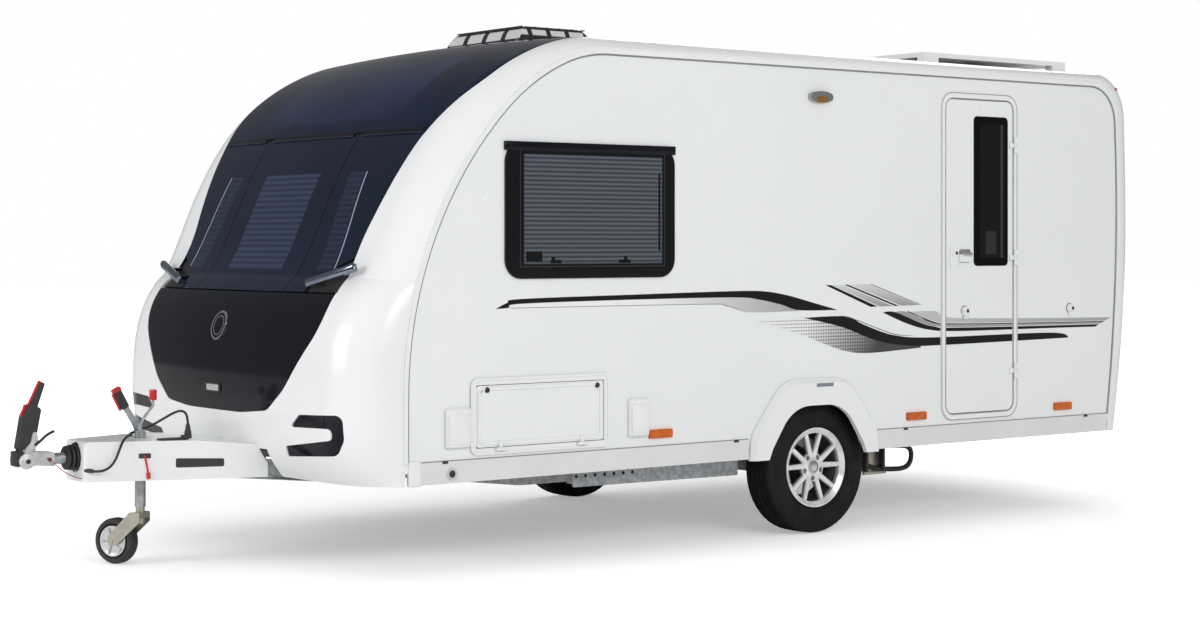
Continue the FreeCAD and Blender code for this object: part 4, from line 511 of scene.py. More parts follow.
film_black = Finish("black_film", (0.006, 0.006, 0.0065), 0.3).sheen_of(0.2)
film_black.vary(3.0, (0.009, 0.009, 0.010)).grain(700.0, 0.0001, 0.15)
film_dots = dotted_film()
film_silver = tone("silver_film", (0.8, 0.805, 0.81), (0.3, 0.305, 0.31), "x", 0.5, -0.55)
film_grey = tone("grey_film", (0.3, 0.305, 0.31), (0.62, 0.625, 0.63), "z", 1.12, 1.23)
film_line = tone("dark_grey_film", (0.22, 0.22, 0.225), (0.12, 0.12, 0.125), "x", 0.6, -0.5)
film_pale = tone("pale_grey_film", (0.5, 0.505, 0.51), (0.36, 0.365, 0.37), "x", -1.2, -2.7)

NODE_FINISHES = (
    (white_moulding, "front_moulding rear_moulding roof_panel a_frame_fairing"),
    (gloss_white("gloss_white_spat", spat_recess_shade), "wheel_spats"),
    (white_panel, "side_wall_left side_wall_right entrance_door side_locker_door cassette_door"),
    (white_plastic, "door_frame locker_frames awning_rails outlet_covers fridge_vents"),
    (white_skirt_shaded, "side_skirts"),
    (front_acrylic(), "front_windows"),
    (skylight_acrylic(), "front_skylight"),
    (side_acrylic(), "side_windows"),
    (door_acrylic(), "entrance_door_window"),
    (blind_cloth, "window_blinds"),
    (black_gloss, "gas_locker_lid grab_handles bumper_inserts"),
    (black_plastic, "handle_recesses fairing_fittings stabiliser_handle trailer_plug"),
    (grey_plastic, "gas_locker_box"),
    (floor_ply, "floor_panel"),
    (lamp_lens(), "marker_lamps"),
    (red_lens, "rear_lamps"),
    (roof_glazing(), "rooflight"),
    (cell_glass(), "solar_panel"),
    (galvanised, "chassis_rails drawbars cross_members axle_beam steady_brackets drawtube handbrake_lever "
                 "jockey_clamp jockey_leg steady_front_left steady_front_right steady_rear_left steady_rear_right"),
    (coupling_metal(), "coupling_head"),
    (zinc_steel, "jockey_fork"),
    (soft_rubber, "bellows jockey_wheel"),
    (grey_seal_and_shade, "edge_seals"),
    (tyre_rubber, "tyre_left tyre_right"),
    (wheel_metal(), "rim_left rim_right"),
    (dark_steel_and_shadow, "hub_left hub_right"),
)


def dress_nodes():
    for finish, names in NODE_FINISHES:
        for name in names.split():
            for place in nodes[name].material_slots:
                place.material = finish.mat


set_camera()
add_cords()
set_floor()
set_world()
for lamp_row in LAMPS:
    add_lamp(*lamp_row)
dress_nodes()


# ---- shapes ----
SIDE = Matrix(((1, 0, 0, 0), (0, 0, 1, 0), (0, 1, 0, 0), (0, 0, 0, 1)))      # drawn x, z; thickness to y
FRONT = Matrix(((0, 0, 1, 0), (1, 0, 0, 0), (0, 1, 0, 0), (0, 0, 0, 1)))     # drawn y, z; thickness to x


def at_side(y):
    return Matrix.Translation((0, y, 0)) @ SIDE


def geometry(bm):
    return bm.verts[:] + bm.edges[:] + bm.faces[:]


def run(bm, parts):
    """Carry out calls such as (block, x, y, z, bevel) on a bmesh."""
    for make, *values in parts:
        make(bm, *values)


def build(name, finish, *parts, body=BODY, sharp=35.0):
    """A piece made from calls in the row frame, riding on a body."""
    bm = bmesh.new()
    run(bm, parts)
    bmesh.ops.recalc_face_normals(bm, faces=bm.faces)
    mesh = bpy.data.meshes.new(name)
    bm.to_mesh(mesh)
    bm.free()
    mesh.shade_smooth()
    mesh.set_sharp_from_angle(angle=math.radians(sharp))
    mesh.materials.append(finish.mat)
    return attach(put(name, mesh), body)


def take_in(bm, mesh):
    bm.from_mesh(mesh)
    bpy.data.meshes.remove(mesh)


def placed(bm, place, *parts):
    """Parts made in a space of their own and then set in place."""
    own = bmesh.new()
    run(own, parts)
    bmesh.ops.transform(own, matrix=place, verts=own.verts)
    mesh = bpy.data.meshes.new("part")
    own.to_mesh(mesh)
    own.free()
    take_in(bm, mesh)


def both_sides(bm):
    """Add the mirror image about the middle plane."""
    made = bmesh.ops.duplicate(bm, geom=geometry(bm))["geom"]
    verts = [item for item in made if isinstance(item, bmesh.types.BMVert)]
    bmesh.ops.scale(bm, vec=(1.0, -1.0, 1.0), verts=verts)


def soften(bm, edges, bevel):
    bmesh.ops.bevel(bm, geom=edges, offset=bevel, segments=2, profile=0.5, affect="EDGES", material=-1)


def block(bm, x, y, z, bevel=0.0):
    """A box between pairs of limits, its edges rounded."""
    size = (x[1] - x[0], y[1] - y[0], z[1] - z[0])
    place = Matrix.Translation(((x[0] + x[1]) / 2, (y[0] + y[1]) / 2, (z[0] + z[1]) / 2))
    new = bmesh.ops.create_cube(bm, size=1.0, matrix=place @ Matrix.Diagonal((*size, 1.0)))["verts"]
    if bevel:
        soften(bm, list({edge for vert in new for edge in vert.link_edges}), bevel)


def rod(bm, start, end, radius, bevel=0.0, far_radius=None, sides=32):
    """A round bar or cone between two points."""
    start, end = Vector(start), Vector(end)
    turn = (end - start).to_track_quat("Z", "Y").to_matrix().to_4x4()
    new = bmesh.ops.create_cone(
        bm, cap_ends=True, segments=sides, radius1=radius, radius2=radius if far_radius is None else far_radius,
        depth=(end - start).length, matrix=Matrix.Translation((start + end) / 2) @ turn)["verts"]
    if bevel:
        edges = {edge for vert in new for edge in vert.link_edges}
        soften(bm, [edge for edge in edges if any(len(face.verts) > 4 for face in edge.link_faces)], bevel)


def across(x, z, start, end, *size):
    """The call for a rod along y, between two distances from the middle plane."""
    return (rod, (x, start, z), (x, end, z), *size)


def turned(bm, profile, steps=48):
    """Spin a profile of (radius, height) points about Z."""
    verts = [bm.verts.new((radius, 0.0, height)) for radius, height in profile]
    edges = [bm.edges.new(pair) for pair in zip(verts, verts[1:])]
    bmesh.ops.spin(bm, geom=verts + edges, cent=(0, 0, 0), axis=(0, 0, 1), angle=2 * math.pi, steps=steps,
                   use_merge=True)
    bmesh.ops.remove_doubles(bm, verts=bm.verts, dist=1e-6)


def take_in_curve(bm, curve, place):
    holder = bpy.data.objects.new("outline", curve)
    mesh = bpy.data.meshes.new_from_object(holder)
    mesh.transform(place)
    take_in(bm, mesh)
    bpy.data.objects.remove(holder)
    bpy.data.curves.remove(curve)


def pipe(bm, route, radius):
    """A fixed pipe along a smooth line."""
    take_in_curve(bm, smooth_line("route", route, 2.0 * radius), Matrix.Identity(4))


def plate(bm, outlines, thick, place, soft=0.0):
    """A flat plate inside the outlines, an outline within another being a hole."""
    curve = bpy.data.curves.new("outline", "CURVE")
    curve.dimensions, curve.fill_mode, curve.extrude = "2D", "BOTH", thick / 2.0 - soft
    curve.bevel_depth, curve.bevel_resolution = soft, 2
    for outline in outlines:
        line = curve.splines.new("POLY")
        line.points.add(len(outline) - 1)
        for point, (u, v) in zip(line.points, outline):
            point.co = (u, v, 0.0, 1.0)
        line.use_cyclic_u = True
    take_in_curve(bm, curve, place)


def rounded(corners, radius, steps=6):
    """Points of an outline with its corners turned on arcs."""
    points = []
    for i, corner in enumerate(corners):
        here = Vector(corner)
        back, ahead = Vector(corners[i - 1]) - here, Vector(corners[(i + 1) % len(corners)]) - here
        half = back.angle(ahead) / 2.0
        length = min(radius / math.tan(half), back.length * 0.49, ahead.length * 0.49)
        arc = length * math.tan(half)
        centre = here + (back.normalized() + ahead.normalized()).normalized() * (arc / math.sin(half))
        start, stop = here + back.normalized() * length - centre, here + ahead.normalized() * length - centre
        turn = math.atan2(start.x * stop.y - start.y * stop.x, start.dot(stop))
        points += [tuple(centre + Matrix.Rotation(turn * k / steps, 2) @ start) for k in range(steps + 1)]
    return points


def oblong(u, v, radius, steps=6):
    return rounded(((u[0], v[0]), (u[1], v[0]), (u[1], v[1]), (u[0], v[1])), radius, steps)


def frame_of(u, v, radius, width, inner_radius, steps=6):
    """A rounded frame's two outlines, the second one moved in by its width."""
    inner = oblong((u[0] + width, u[1] - width), (v[0] + width, v[1] - width), inner_radius, steps)
    return [oblong(u, v, radius, steps), inner]


def circle(u, v, radius, count=40):
    turns = [2 * math.pi * k / count for k in range(count)]
    return [(u + radius * math.cos(t), v + radius * math.sin(t)) for t in turns]


def eased(points, steps=7):
    """A smooth line through points."""
    line = []
    ends = [points[0]] + list(points) + [points[-1]]
    for a, b, c, d in zip(ends, ends[1:], ends[2:], ends[3:]):
        for k in range(steps):
            t = k / steps
            line.append(tuple(0.5 * (2 * q + (r - p) * t + (2 * p - 5 * q + 4 * r - s) * t * t
                                     + (3 * q - p - 3 * r + s) * t ** 3) for p, q, r, s in zip(a, b, c, d)))
    return line + [tuple(points[-1])]


def keep_between(bm, low, high):
    """Cut a bmesh down to a range of x."""
    for x, way in ((low, -1.0), (high, 1.0)):
        made = bmesh.ops.bisect_plane(bm, geom=geometry(bm), plane_co=(x, 0, 0), plane_no=(way, 0, 0),
                                      clear_outer=True)
        rim = [edge for edge in made["geom_cut"] if isinstance(edge, bmesh.types.BMEdge)]
        bmesh.ops.holes_fill(bm, edges=rim, sides=0)


def refined(bm, cuts=6):
    """Even faces across y and z for a plate that is to be draped."""
    for i in (1, 2):
        levels = [vert.co[i] for vert in bm.verts]
        low, high = min(levels), max(levels)
        normal = [float(k == i) for k in range(3)]
        for k in range(1, cuts):
            level = [low + (high - low) * k / cuts if n == i else 0.0 for n in range(3)]
            bmesh.ops.bisect_plane(bm, geom=geometry(bm), plane_co=level, plane_no=normal)


LOOK_FROM = 4.0      # x ahead of everything


class Skin:
    """The outer surface of CAD nodes, found by looking back along x."""

    def __init__(self, *names):
        meshes = [nodes[name].data for name in names]
        self.trees = [BVHTree.FromPolygons([vert.co for vert in mesh.vertices],
                                           [face.vertices for face in mesh.polygons]) for mesh in meshes]

    def x(self, y, z):
        ray = Vector((LOOK_FROM, y, z)), Vector((-1.0, 0.0, 0.0))
        hits = [tree.ray_cast(*ray)[0] for tree in self.trees]
        return max((hit.x for hit in hits if hit is not None), default=None)

    def drape(self, bm, proud):
        """Move a plate that was drawn flat at x = 0 on to the surface."""
        lost = []
        for vert in bm.verts:
            x = self.x(vert.co.y, vert.co.z)
            if x is None:
                lost.append(vert)
            else:
                vert.co.x += x + proud
        bmesh.ops.delete(bm, geom=lost, context="VERTS")


# ---- decor ----
# printed film on the sides: name, finish, layer, upper edge from the front, lower edge from the front (x, z)
FILMS = (
    ("upper_silver", film_silver, 1,
     ((1.24, 1.166), (0.59, 1.179), (-0.03, 1.180), (-0.2, 1.168), (-0.34, 1.142), (-0.46, 1.1063)),
     ((1.262, 1.151), (0.755, 1.150), (0.11, 1.149), (0.02, 1.142), (-0.12, 1.106), (-0.46, 1.106))),
    ("upper_black", film_black, 2,
     ((1.345, 1.149), (1.285, 1.174), (1.21, 1.190), (0.59, 1.200), (-0.03, 1.208), (-0.23, 1.204),
      (-0.385, 1.182), (-0.55, 1.144), (-0.71, 1.1075)),
     ((1.345, 1.148), (1.275, 1.153), (1.21, 1.169), (0.59, 1.177), (-0.03, 1.178), (-0.2, 1.164), (-0.34, 1.138),
      (-0.46, 1.109), (-0.71, 1.106))),
    ("upper_line", film_line, 2,
     ((1.262, 1.152), (0.755, 1.152), (0.11, 1.150), (0.02, 1.143), (-0.12, 1.107)),
     ((1.262, 1.149), (0.755, 1.149), (0.11, 1.147), (0.02, 1.139), (-0.128, 1.106))),
    ("lower_dots", film_dots, 1,
     ((-0.19, 1.0625), (-0.46, 1.071), (-0.77, 1.073), (-0.88, 1.034), (-1.05, 0.982), (-1.185, 0.96),
      (-1.3, 0.94)),
     ((-0.19, 1.0615), (-0.46, 0.993), (-0.66, 0.929), (-0.8, 0.895), (-0.94, 0.886), (-1.15, 0.894),
      (-1.3, 0.902))),
    ("lower_black", film_black, 2,
     ((-0.49, 1.0715), (-0.77, 1.073), (-0.88, 1.034), (-1.05, 0.982), (-1.185, 0.96), (-1.45, 0.952),
      (-2.295, 0.954), (-2.445, 0.9245)),
     ((-0.49, 1.0705), (-0.745, 1.02), (-0.98, 0.948), (-1.22, 0.914), (-1.45, 0.911), (-2.045, 0.918),
      (-2.445, 0.9235))),
    ("lower_edge", film_line, 3,
     ((-0.7, 1.0735), (-0.785, 1.071), (-0.98, 1.013), (-1.115, 0.977), (-1.25, 0.964)),
     ((-0.7, 1.0725), (-0.785, 1.067), (-0.98, 1.009), (-1.115, 0.973), (-1.25, 0.963))),
    ("rear_black", film_black, 2,
     ((-1.03, 1.087), (-1.11, 1.088), (-1.29, 1.032), (-1.4, 1.008), (-1.58, 0.998), (-2.695, 0.99)),
     ((-1.03, 1.086), (-1.205, 1.026), (-1.365, 0.992), (-1.58, 0.98), (-2.3, 0.979), (-2.665, 0.978))),
    ("rear_grey", film_grey, 2,
     ((-1.115, 1.088), (-1.195, 1.087), (-1.365, 1.034), (-1.49, 1.018), (-2.0, 1.01), (-2.735, 1.003)),
     ((-1.115, 1.087), (-1.29, 1.034), (-1.4, 1.01), (-1.58, 1.001), (-2.0, 0.998), (-2.7, 0.993))),
    ("rear_dark", film_black, 3,
     ((-1.205, 1.087), (-1.22, 1.087), (-1.38, 1.037), (-1.505, 1.022), (-2.0, 1.0135), (-2.745, 1.007)),
     ((-1.205, 1.086), (-1.29, 1.06), (-1.365, 1.033), (-1.49, 1.018), (-2.0, 1.0095), (-2.735, 1.003))),
    ("rear_pale", film_pale, 2,
     ((-1.23, 1.087), (-1.4, 1.087), (-1.45, 1.068), (-1.54, 1.05), (-2.0, 1.038), (-2.795, 1.026)),
     ((-1.23, 1.086), (-1.3, 1.062), (-1.38, 1.041), (-1.505, 1.026), (-2.0, 1.0165), (-2.75, 1.01))),
)
# slanted films with straight edges: name, finish, layer, corners
SLASHES = (
    ("slash_black", film_black, 1, ((-0.63, 1.23), (-0.67, 1.229), (-0.99, 1.118), (-0.945, 1.116))),
    ("slash_grey", film_grey, 1, ((-0.68, 1.229), (-0.745, 1.23), (-1.1, 1.118), (-1.005, 1.118))),
    ("slash_dark", film_black, 1, ((-0.76, 1.23), (-0.785, 1.23), (-1.145, 1.118), (-1.115, 1.118))),
    ("slash_pale", film_grey, 1, ((-0.795, 1.231), (-0.93, 1.232), (-1.285, 1.12), (-1.16, 1.119))),
    ("slash_edge", film_line, 1, ((-0.936, 1.232), (-0.948, 1.232), (-1.306, 1.121), (-1.292, 1.121))),
)
# the runs of x that carry film: name, limits, height of the surface, body
LEFT_RUNS = (("front", (-1.444, 1.4), WALL_FACE, BODY), ("door", (-1.988, -1.483), LEAF_FACE, "door"),
             ("rear", (-2.9, -2.027), WALL_FACE, BODY))
RIGHT_RUNS = (("front", (-0.36, 1.4), WALL_FACE, BODY), ("rear", (-2.9, -0.82), WALL_FACE, BODY))
FILM_THICK, FILM_SEAT = 0.0002, 0.0001


def add_film(name, finish, layer, outline):
    """One film on both sides, cut at the joints between bodies."""
    xs = [point[0] for point in outline]
    for (side, word), runs in zip(SIDES, (LEFT_RUNS, RIGHT_RUNS)):
        for part, (low, high), face, body in runs:
            if max(xs) > low and min(xs) < high:
                out = side * (face + FILM_SEAT + FILM_THICK * (layer - 0.5))
                build("%s_%s_%s" % (name, part, word), finish,
                      (plate, [outline], FILM_THICK, at_side(out)), (keep_between, low, high), body=body)


def add_decor():
    for name, finish, layer, upper, lower in FILMS:
        add_film(name, finish, layer, eased(upper) + eased(lower)[::-1])
    for name, finish, layer, corners in SLASHES:
        add_film(name, finish, layer, corners)


# ---- front ----
BADGE_Z = 1.062
# on the gas lid: name, outlines in y and z, thickness, finish
LID_PLATES = (
    ("badge_rim", [circle(0.0, BADGE_Z, 0.066), circle(0.0, BADGE_Z, 0.057)], 0.006, chrome),
    ("badge_plate", [circle(0.0, BADGE_Z, 0.0565)], 0.004, black_gloss),
    ("badge_ring", [circle(0.0, BADGE_Z, 0.045), circle(0.0, BADGE_Z, 0.040)], 0.0055, chrome),
    ("lid_latch_frame", [oblong((-0.075, 0.075), (0.758, 0.802), 0.008),
                         oblong((-0.062, 0.062), (0.765, 0.795), 0.005)], 0.006, dark_steel_and_shadow),
    ("lid_latch", [oblong((-0.061, 0.061), (0.766, 0.794), 0.005)], 0.003, satin_aluminium),
)
# along the seam under the skylight, a black lip for the skylight's dark overhanging edge with the shade under it
# painted in, and a thin blue chrome line as a painted highlight: name, z range, height, finish
SEAM_LIPS = (("skylight_lip", (1.926, 1.948), 0.007, black_gloss),
             ("skylight_lip_highlight", (1.9245, 1.9265), 0.0085, blue_chrome))
SEAM_HALF = 0.90


def add_front():
    """Blank badge and latch of the gas lid, lip over the windows with painted shade and a painted highlight line,
    blades of the grab handles.
    """
    lid = Skin("gas_locker_lid", "front_moulding", "front_windows", "handle_recesses")
    for name, outlines, thick, finish in LID_PLATES:
        build(name, finish, (plate, outlines, thick, FRONT), (refined,), (lid.drape, thick / 2.0), body="gas_lid")
    seam = Skin("front_windows", "front_skylight", "front_moulding")
    for name, z, thick, finish in SEAM_LIPS:
        outline = oblong((-SEAM_HALF, SEAM_HALF), z, 0.0006)
        build(name, finish, (plate, [outline], thick, FRONT), (refined, 48), (seam.drape, thick / 2.0))
    for side, word in SIDES:
        low, high = Vector((1.994, side * 0.606, 1.259)), Vector((1.930, side * 0.914, 1.3335))
        half = (high - low).length / 2
        turn = (high - low).to_track_quat("X", "Z").to_matrix().to_4x4()
        build("grab_handle_blade_" + word, blue_chrome,
              (placed, Matrix.Translation((low + high) / 2) @ turn,
               (block, (-half, half), (-0.0135, 0.0135), (-0.019, 0.019), 0.009)), sharp=50.0)


# ---- sides ----
CATCH_Z = 1.084
CATCH_DOME = ((0.0, 0.026), (0.012, 0.024), (0.019, 0.018), (0.023, 0.008), (0.024, 0.0))
CATCHES = (("door_catch", -1.62, LEAF_FACE, "door"), ("wall_catch", -2.45, WALL_FACE, BODY))
LOCKS = ((1.395, 0.796), (0.79, 0.794))      # x, z
SKIRT_CLIPS_X = (1.615, -0.045, -1.185, -2.575)
STEADY_X, STEADY_Z = 1.58, 0.442             # hole in the skirt that winds a steady down
OUTLET_HOODS = ((1.496, 1.606), (0.503, 0.605))
# name, frame, thickness, y, soft edge, body
LOCKER_BEADS = (
    ("locker_flap_bead", ((0.762, 1.442), (0.556, 0.806), 0.03, 0.012, 0.02), 0.005, 1.1295, 0.0022, "locker_flap"),
    ("locker_frame_bead", ((0.7225, 1.4815), (0.5145, 0.8465), 0.034, 0.008, 0.028), 0.004, 1.1325, 0.0018, BODY),
)
# round the entrance door, thin grey rings of painted shade along the frame's rounded edges: x range, z range,
# corner radius, width of the ring outwards
DOOR_SHADE_RINGS = (((-1.991, -1.480), (0.552, 2.185), 0.052, 0.005), ((-2.024, -1.447), (0.519, 2.218), 0.082, -0.004))


def add_side_fittings():
    """Locks, clips and retaining catches, each catch on a dark disc whose rim shows round it as painted shadow."""
    build("locker_locks", dark_steel_and_shadow, *(across(x, z, 1.127, 1.134, 0.013, 0.001, 0.012) for x, z in LOCKS),
          body="locker_flap")
    build("skirt_clips", black_plastic, *((block, (x - 0.014, x + 0.014), (1.1312, 1.135), (0.488, 0.5), 0.001)
                                          for x in SKIRT_CLIPS_X), (both_sides,))
    rings = [circle(STEADY_X, STEADY_Z, 0.027), circle(STEADY_X, STEADY_Z, 0.016)]
    build("steady_access_rings", satin_aluminium, (plate, rings, 0.004, at_side(1.133)), (both_sides,))
    build("steady_access_holes", black_plastic, across(STEADY_X, STEADY_Z, 1.1311, 1.1325, 0.0162), (both_sides,))
    for name, x, face, body in CATCHES:
        place = Matrix.Translation((x, face, CATCH_Z)) @ Matrix.Rotation(-math.pi / 2, 4, "X")
        build(name, white_plastic, (placed, place, (turned, CATCH_DOME, 32)),
              (block, (x - 0.012, x + 0.012), (face, face + 0.012), (CATCH_Z - 0.042, CATCH_Z - 0.016), 0.003),
              body=body, sharp=50.0)
        # a dark centre on each catch, and a dark disc a little wider than its dome whose rim is a painted shadow
        build(name + "_core_and_shadow", dark_steel_and_shadow, across(x, CATCH_Z, face + 0.022, face + 0.0275, 0.009, 0.001),
              (plate, [circle(x, CATCH_Z, 0.027)], 0.0008, at_side(face + 0.0004)), body=body)


def add_seals():
    """Grey rings of painted shade round the entrance door's frame, and grey strips along the foot of the walls for
    the seam above the skirt, its shade painted in.
    """
    build("door_frame_shade_lines", grey_seal_and_shade,
          *((plate, frame_of(x, z, radius, -wide, radius + wide, 12), 0.0008, at_side(1.1314))
            for x, z, radius, wide in DOOR_SHADE_RINGS))
    back, ahead = (corner.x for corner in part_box("side_skirts"))
    build("skirt_seam_shade_lines", grey_seal_and_shade, *((block, x, (1.125, 1.129), (0.4972, 0.5008), 0.0008)
                                        for x in ((-0.124, ahead), (back, -0.986))), (both_sides,))


def add_trim():
    """Raised frames, outlet hoods, window rails, corner covers and the slotted side members."""
    for name, bead, thick, y, soft, body in LOCKER_BEADS:
        build(name, white_plastic, (plate, frame_of(*bead), thick, at_side(y), soft), body=body, sharp=60.0)
    hoods = [(block, x, (1.140, 1.1555), (0.565, 0.700), 0.006) for x in OUTLET_HOODS]
    hoods += [(block, (x[0] + 0.004, x[1] - 0.004), (1.135, 1.1525), (0.556, 0.567), 0.002) for x in OUTLET_HOODS]
    build("outlet_hoods", white_plastic, *hoods, sharp=50.0)
    build("window_top_rails", black_gloss,
          (block, (0.334, 1.304), (1.1255, 1.1385), (1.846, 1.886), 0.003), (both_sides,))
    build("skirt_corner_covers", white_plastic,
          (block, (1.738, 1.800), (1.110, 1.1365), (0.398, 0.508), 0.007), (both_sides,), sharp=50.0)
    holes = [circle(0.775 - 0.055 * k, 0.364, 0.009, 24) for k in range(7)]
    outline = rounded(((0.795, 0.315), (-0.21, 0.306), (-0.21, 0.40), (0.795, 0.42)), 0.008)
    build("slotted_side_members", galvanised, (plate, [outline] + holes, 0.004, at_side(0.95)),
          *((block, (x - 0.004, x + 0.004), (0.90, 0.95), (0.33, 0.42)) for x in (0.79, -0.2)), (both_sides,))
    build("slot_shadows", dark_steel_and_shadow, (block, (0.42, 0.79), (0.944, 0.9465), (0.345, 0.383)), (both_sides,))


def add_door_handle():
    """A flat grey plate as painted shade for the handle's dished recess, with its pull and key barrel."""
    dish = oblong((-1.662, -1.575), (1.335, 1.405), 0.014)
    build("door_handle_recess_shade", grey_seal_and_shade, (plate, [dish], 0.0012, at_side(1.1336)), body="door")
    build("door_handle_pull", satin_aluminium,
          (block, (-1.664, -1.59), (1.1335, 1.148), (1.366, 1.388), 0.004), body="door")
    build("door_handle_lock", dark_steel_and_shadow, across(-1.556, 1.385, 1.133, 1.1365, 0.009, 0.001), body="door")


# ---- wheels; drawn with the axle along Z and the outer face up ----
TREAD_STEPS, TREAD_FLOOR, TREAD_CUT, TREAD_RIB = 216, 0.319, 0.005, 0.008
# half of the tyre's outline from its bead: radius, distance from the middle
TYRE_SKIN = (
    (0.186, 0.0), (0.186, 0.066), (0.200, 0.0725), (0.206, 0.0805), (0.214, 0.0815), (0.216, 0.0865),
    (0.236, 0.0925), (0.258, 0.0935), (0.262, 0.0925), (0.266, 0.0935), (0.286, 0.0905), (0.298, 0.0875),
    (0.302, 0.0855), (0.306, 0.0862), (0.316, 0.0815), (0.3215, 0.075), (0.3235, 0.0665), (0.3235, 0.052),
    (0.316, 0.050), (0.316, 0.043), (0.3243, 0.041), (0.3245, 0.0245), (0.317, 0.0225), (0.317, 0.0155),
    (0.3248, 0.0135), (0.3248, 0.0),
)
WHEEL_CAP = ((0.0, 0.070), (0.02, 0.0695), (0.03, 0.067), (0.034, 0.062), (0.034, 0.058))
CAP_RING = ((0.0225, 0.0695), (0.0225, 0.0705), (0.0245, 0.0702), (0.0245, 0.0689))
BOLTS, BOLT_CIRCLE = 5, 0.056


def tyre(bm):
    """Tyre turned from its outer skin, with tread grooves and staggered cross cuts."""
    far_half = [(radius, away) for radius, away in reversed(TYRE_SKIN[1:-1])]
    turned(bm, [(radius, -away) for radius, away in TYRE_SKIN] + far_half + [TYRE_SKIN[0]], TREAD_STEPS)
    bmesh.ops.remove_doubles(bm, verts=bm.verts, dist=1e-5)
    for vert in bm.verts:
        x, y, away = vert.co.x, vert.co.y, abs(vert.co.z)
        radius = math.hypot(x, y)
        step = round(math.atan2(y, x) / (2 * math.pi / TREAD_STEPS))
        if radius > TREAD_FLOOR and (step + int(away * 60)) % 4 == 0 and away > TREAD_RIB:
            inward = (radius - TREAD_CUT) / radius
            vert.co.x, vert.co.y = x * inward, y * inward


def add_wheels():
    bolts = []
    for k in range(BOLTS):
        turn = 2 * math.pi * (k + 0.5) / BOLTS
        x, y = BOLT_CIRCLE * math.sin(turn), BOLT_CIRCLE * math.cos(turn)
        bolts += [(rod, (x, y, 0.040), (x, y, 0.055), 0.0095, 0.0008, 0.0085, 6),
                  (rod, (x, y, 0.040), (x, y, 0.046), 0.0115, 0.0, None, 24)]
    valve = (rod, (0.150, 0.06, 0.052), (0.165, 0.066, 0.078), 0.004, 0.0, 0.0035, 16)
    for side, word in SIDES:
        body = "wheel_" + word
        place = Matrix.Translation((AXLE_X, side * TYRE_Y, AXLE_Z)) @ Matrix.Rotation(-side * math.pi / 2, 4, "X")
        made = build("tyre_with_tread_" + word, tyre_rubber, (placed, place, (tyre,)), body=body, sharp=28.0)
        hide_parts("tyre_" + word)
        for name, finish, parts in (("wheel_cap_", satin_aluminium, [(turned, WHEEL_CAP)]),
                                    ("wheel_cap_ring_", dark_steel_and_shadow, [(turned, CAP_RING)]),
                                    ("wheel_bolts_", chrome, bolts), ("tyre_valve_", soft_rubber, [valve])):
            build(name + word, finish, (placed, place, *parts), body=body)


# ---- hitch ----
GRIP = ((2.548, 0.690), (2.594, 0.775), (2.562, 0.792), (2.516, 0.708))
GRIP_CAP = ((2.5895, 0.765), (2.5965, 0.778), (2.5605, 0.7975), (2.5535, 0.784))
GRIP_EDGE = ((2.5515, 0.688), (2.5585, 0.6855), (2.5955, 0.758), (2.5885, 0.762))
RED_EDGE = ((3.022, 0.736), (3.0165, 0.733), (2.9645, 0.8385), (2.9705, 0.8415))
RED_TONGUE = ((3.047, 0.690), (3.056, 0.688), (3.036, 0.742), (3.026, 0.738))
CHEEK = ((3.052, 0.505), (3.048, 0.545), (3.018, 0.578), (3.008, 0.622), (2.990, 0.622), (2.984, 0.585),
         (3.000, 0.535), (3.020, 0.490))
RELEASE_LEVER = ((3.000, 0.033, 0.565), (2.975, 0.035, 0.585), (2.945, 0.035, 0.612), (2.915, 0.034, 0.622))
JOCKEY_DISC = ((0.0, 0.0312), (0.014, 0.0312), (0.016, 0.0302), (0.058, 0.0302), (0.062, 0.0318),
               (0.068, 0.0318), (0.070, 0.0300))


def grown(outline, amount):
    """An outline pushed out from its middle."""
    middle = Vector((sum(p[0] for p in outline), sum(p[1] for p in outline))) / len(outline)
    return [tuple(Vector(p) + (Vector(p) - middle).normalized() * amount) for p in outline]


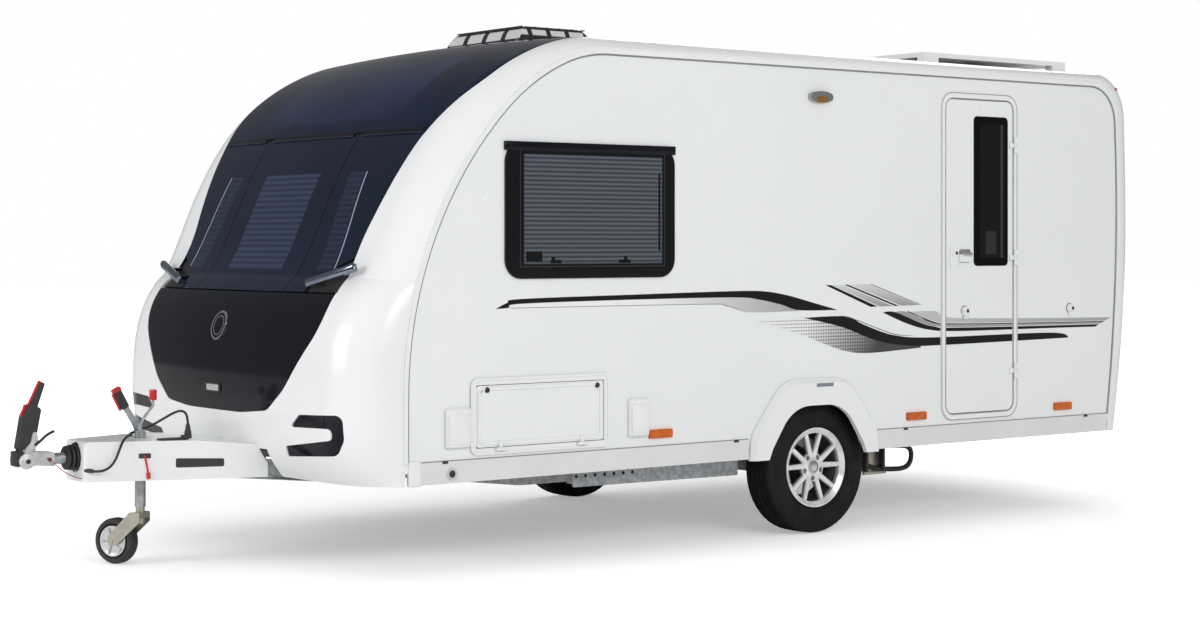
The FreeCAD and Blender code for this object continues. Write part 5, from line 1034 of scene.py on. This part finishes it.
def add_hitch():
    """Knob and grips with their red parts, the coupling's discs and bolts, the jockey wheel's faces."""
    build("jockey_knob", red_plastic, (rod, (2.431, 0.0, 0.7335), (2.431, 0.0, 0.7805), 0.0166, 0.003),
          body="jockey_tube")
    lever = at_side(LEVER_Y)
    build("handbrake_grip", black_plastic, (plate, [rounded(grown(GRIP, 0.0015), 0.006)], 0.0232, lever))
    build("handbrake_button", red_plastic, (plate, [rounded(GRIP_CAP, 0.004)], 0.0245, lever),
          (plate, [GRIP_EDGE], 0.012, lever))
    build("stabiliser_red_edges", red_plastic, (plate, [RED_EDGE], 0.018, SIDE),
          (plate, [rounded(RED_TONGUE, 0.002)], 0.014, SIDE))
    build("stabiliser_discs", cast_silver, across(DISC_X, DISC_Z, 0.048, 0.0605, 0.036, 0.002, 0.033),
          across(DISC_X, DISC_Z, 0.0605, 0.0635, 0.021, 0.001), (both_sides,), sharp=30.0)
    build("coupling_bolts", dark_steel_and_shadow, across(DISC_X, DISC_Z, 0.063, 0.07, 0.011, 0.001, None, 6),
          across(2.935, DISC_Z, 0.03, 0.04, 0.009, 0.001, None, 6), (both_sides,))
    build("stabiliser_cheeks", cast_silver,
          (plate, [rounded(CHEEK, 0.012)], 0.006, at_side(0.0265)), (both_sides,))
    build("coupling_release_lever", black_plastic, (pipe, RELEASE_LEVER, 0.0065), sharp=60.0)
    ribs = []
    for k in range(5):
        x, y = math.cos(2 * math.pi * k / 5), math.sin(2 * math.pi * k / 5)
        ribs.append((rod, (0.014 * x, 0.014 * y, 0.0305), (0.06 * x, 0.06 * y, 0.0305), 0.004, 0.0, 0.006, 12))
    hub = Matrix.Translation(JOCKEY_HUB) @ Matrix.Rotation(math.radians(JOCKEY_TURN), 4, "Z")
    faces = [hub @ Matrix.Rotation(-side * math.pi / 2, 4, "X") for side in (1, -1)]
    for name, finish, parts in (("jockey_wheel_discs", satin_aluminium, [(turned, JOCKEY_DISC)]),
                                ("jockey_wheel_ribs", galvanised, ribs)):
        build(name, finish, *((placed, face, *parts) for face in faces), body="jockey_roller")
    # small red lever beside the fairing, and its slot
    build("fairing_lever", red_plastic,
          (rod, (2.563, 0.1905, 0.508), (2.550, 0.2, 0.425), 0.0045, 0.0, 0.004, 16),
          (rod, (2.551, 0.199, 0.432), (2.549, 0.2005, 0.405), 0.010, 0.002, 0.008, 20))
    slot = Matrix.Translation((2.563, 0.1905, 0.506)) @ Matrix.Rotation(math.radians(-21.1), 4, "Z")
    build("fairing_slot", black_plastic,
          (plate, [oblong((-0.026, 0.026), (-0.011, 0.011), 0.004)], 0.003, slot @ SIDE))


# ---- underneath and on the roof ----
HOSE_Y, HOSE_RADIUS = 0.866, 0.013
HOSE = ((-1.14, 0.36), (-1.16, 0.38), (-1.24, 0.385), (-1.38, 0.378), (-1.47, 0.372), (-1.50, 0.34),
        (-1.49, 0.28), (-1.44, 0.254), (-1.32, 0.258), (-1.2, 0.27), (-1.15, 0.30))      # x, z
HOOPS_X = (0.215, 0.29, 0.366, 0.442, 0.518, 0.594)


def add_underside():
    """Bracket and hose loop behind the left wheel."""
    build("hose_bracket", zinc_steel, (block, (-1.30, -1.10), (0.846, 0.852), (0.25, 0.40), 0.002),
          (block, (-1.30, -1.10), (0.79, 0.852), (0.394, 0.40), 0.001),
          (block, (-1.32, -1.16), (0.84, 0.858), (0.236, 0.254), 0.003))
    build("hose_loop", soft_rubber, (pipe, [(x, HOSE_Y, z) for x, z in HOSE], HOSE_RADIUS), sharp=60.0)
    build("hose_clips", black_plastic, *((block, (x - 0.009, x + 0.009), (0.852, 0.882), (0.255, 0.395), 0.002)
                                         for x in (-1.16, -1.28)))


def add_roof():
    """Dark hoops over the roof window."""
    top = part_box("rooflight")[1].z
    build("rooflight_hoops", black_plastic,
          *((block, (x, x + 0.012), (-0.28, 0.28), (top - 0.006, top - 0.0002), 0.001) for x in HOOPS_X))


add_decor()
add_front()
add_side_fittings()
add_seals()
add_trim()
add_door_handle()
add_wheels()
add_hitch()
add_underside()
add_roof()
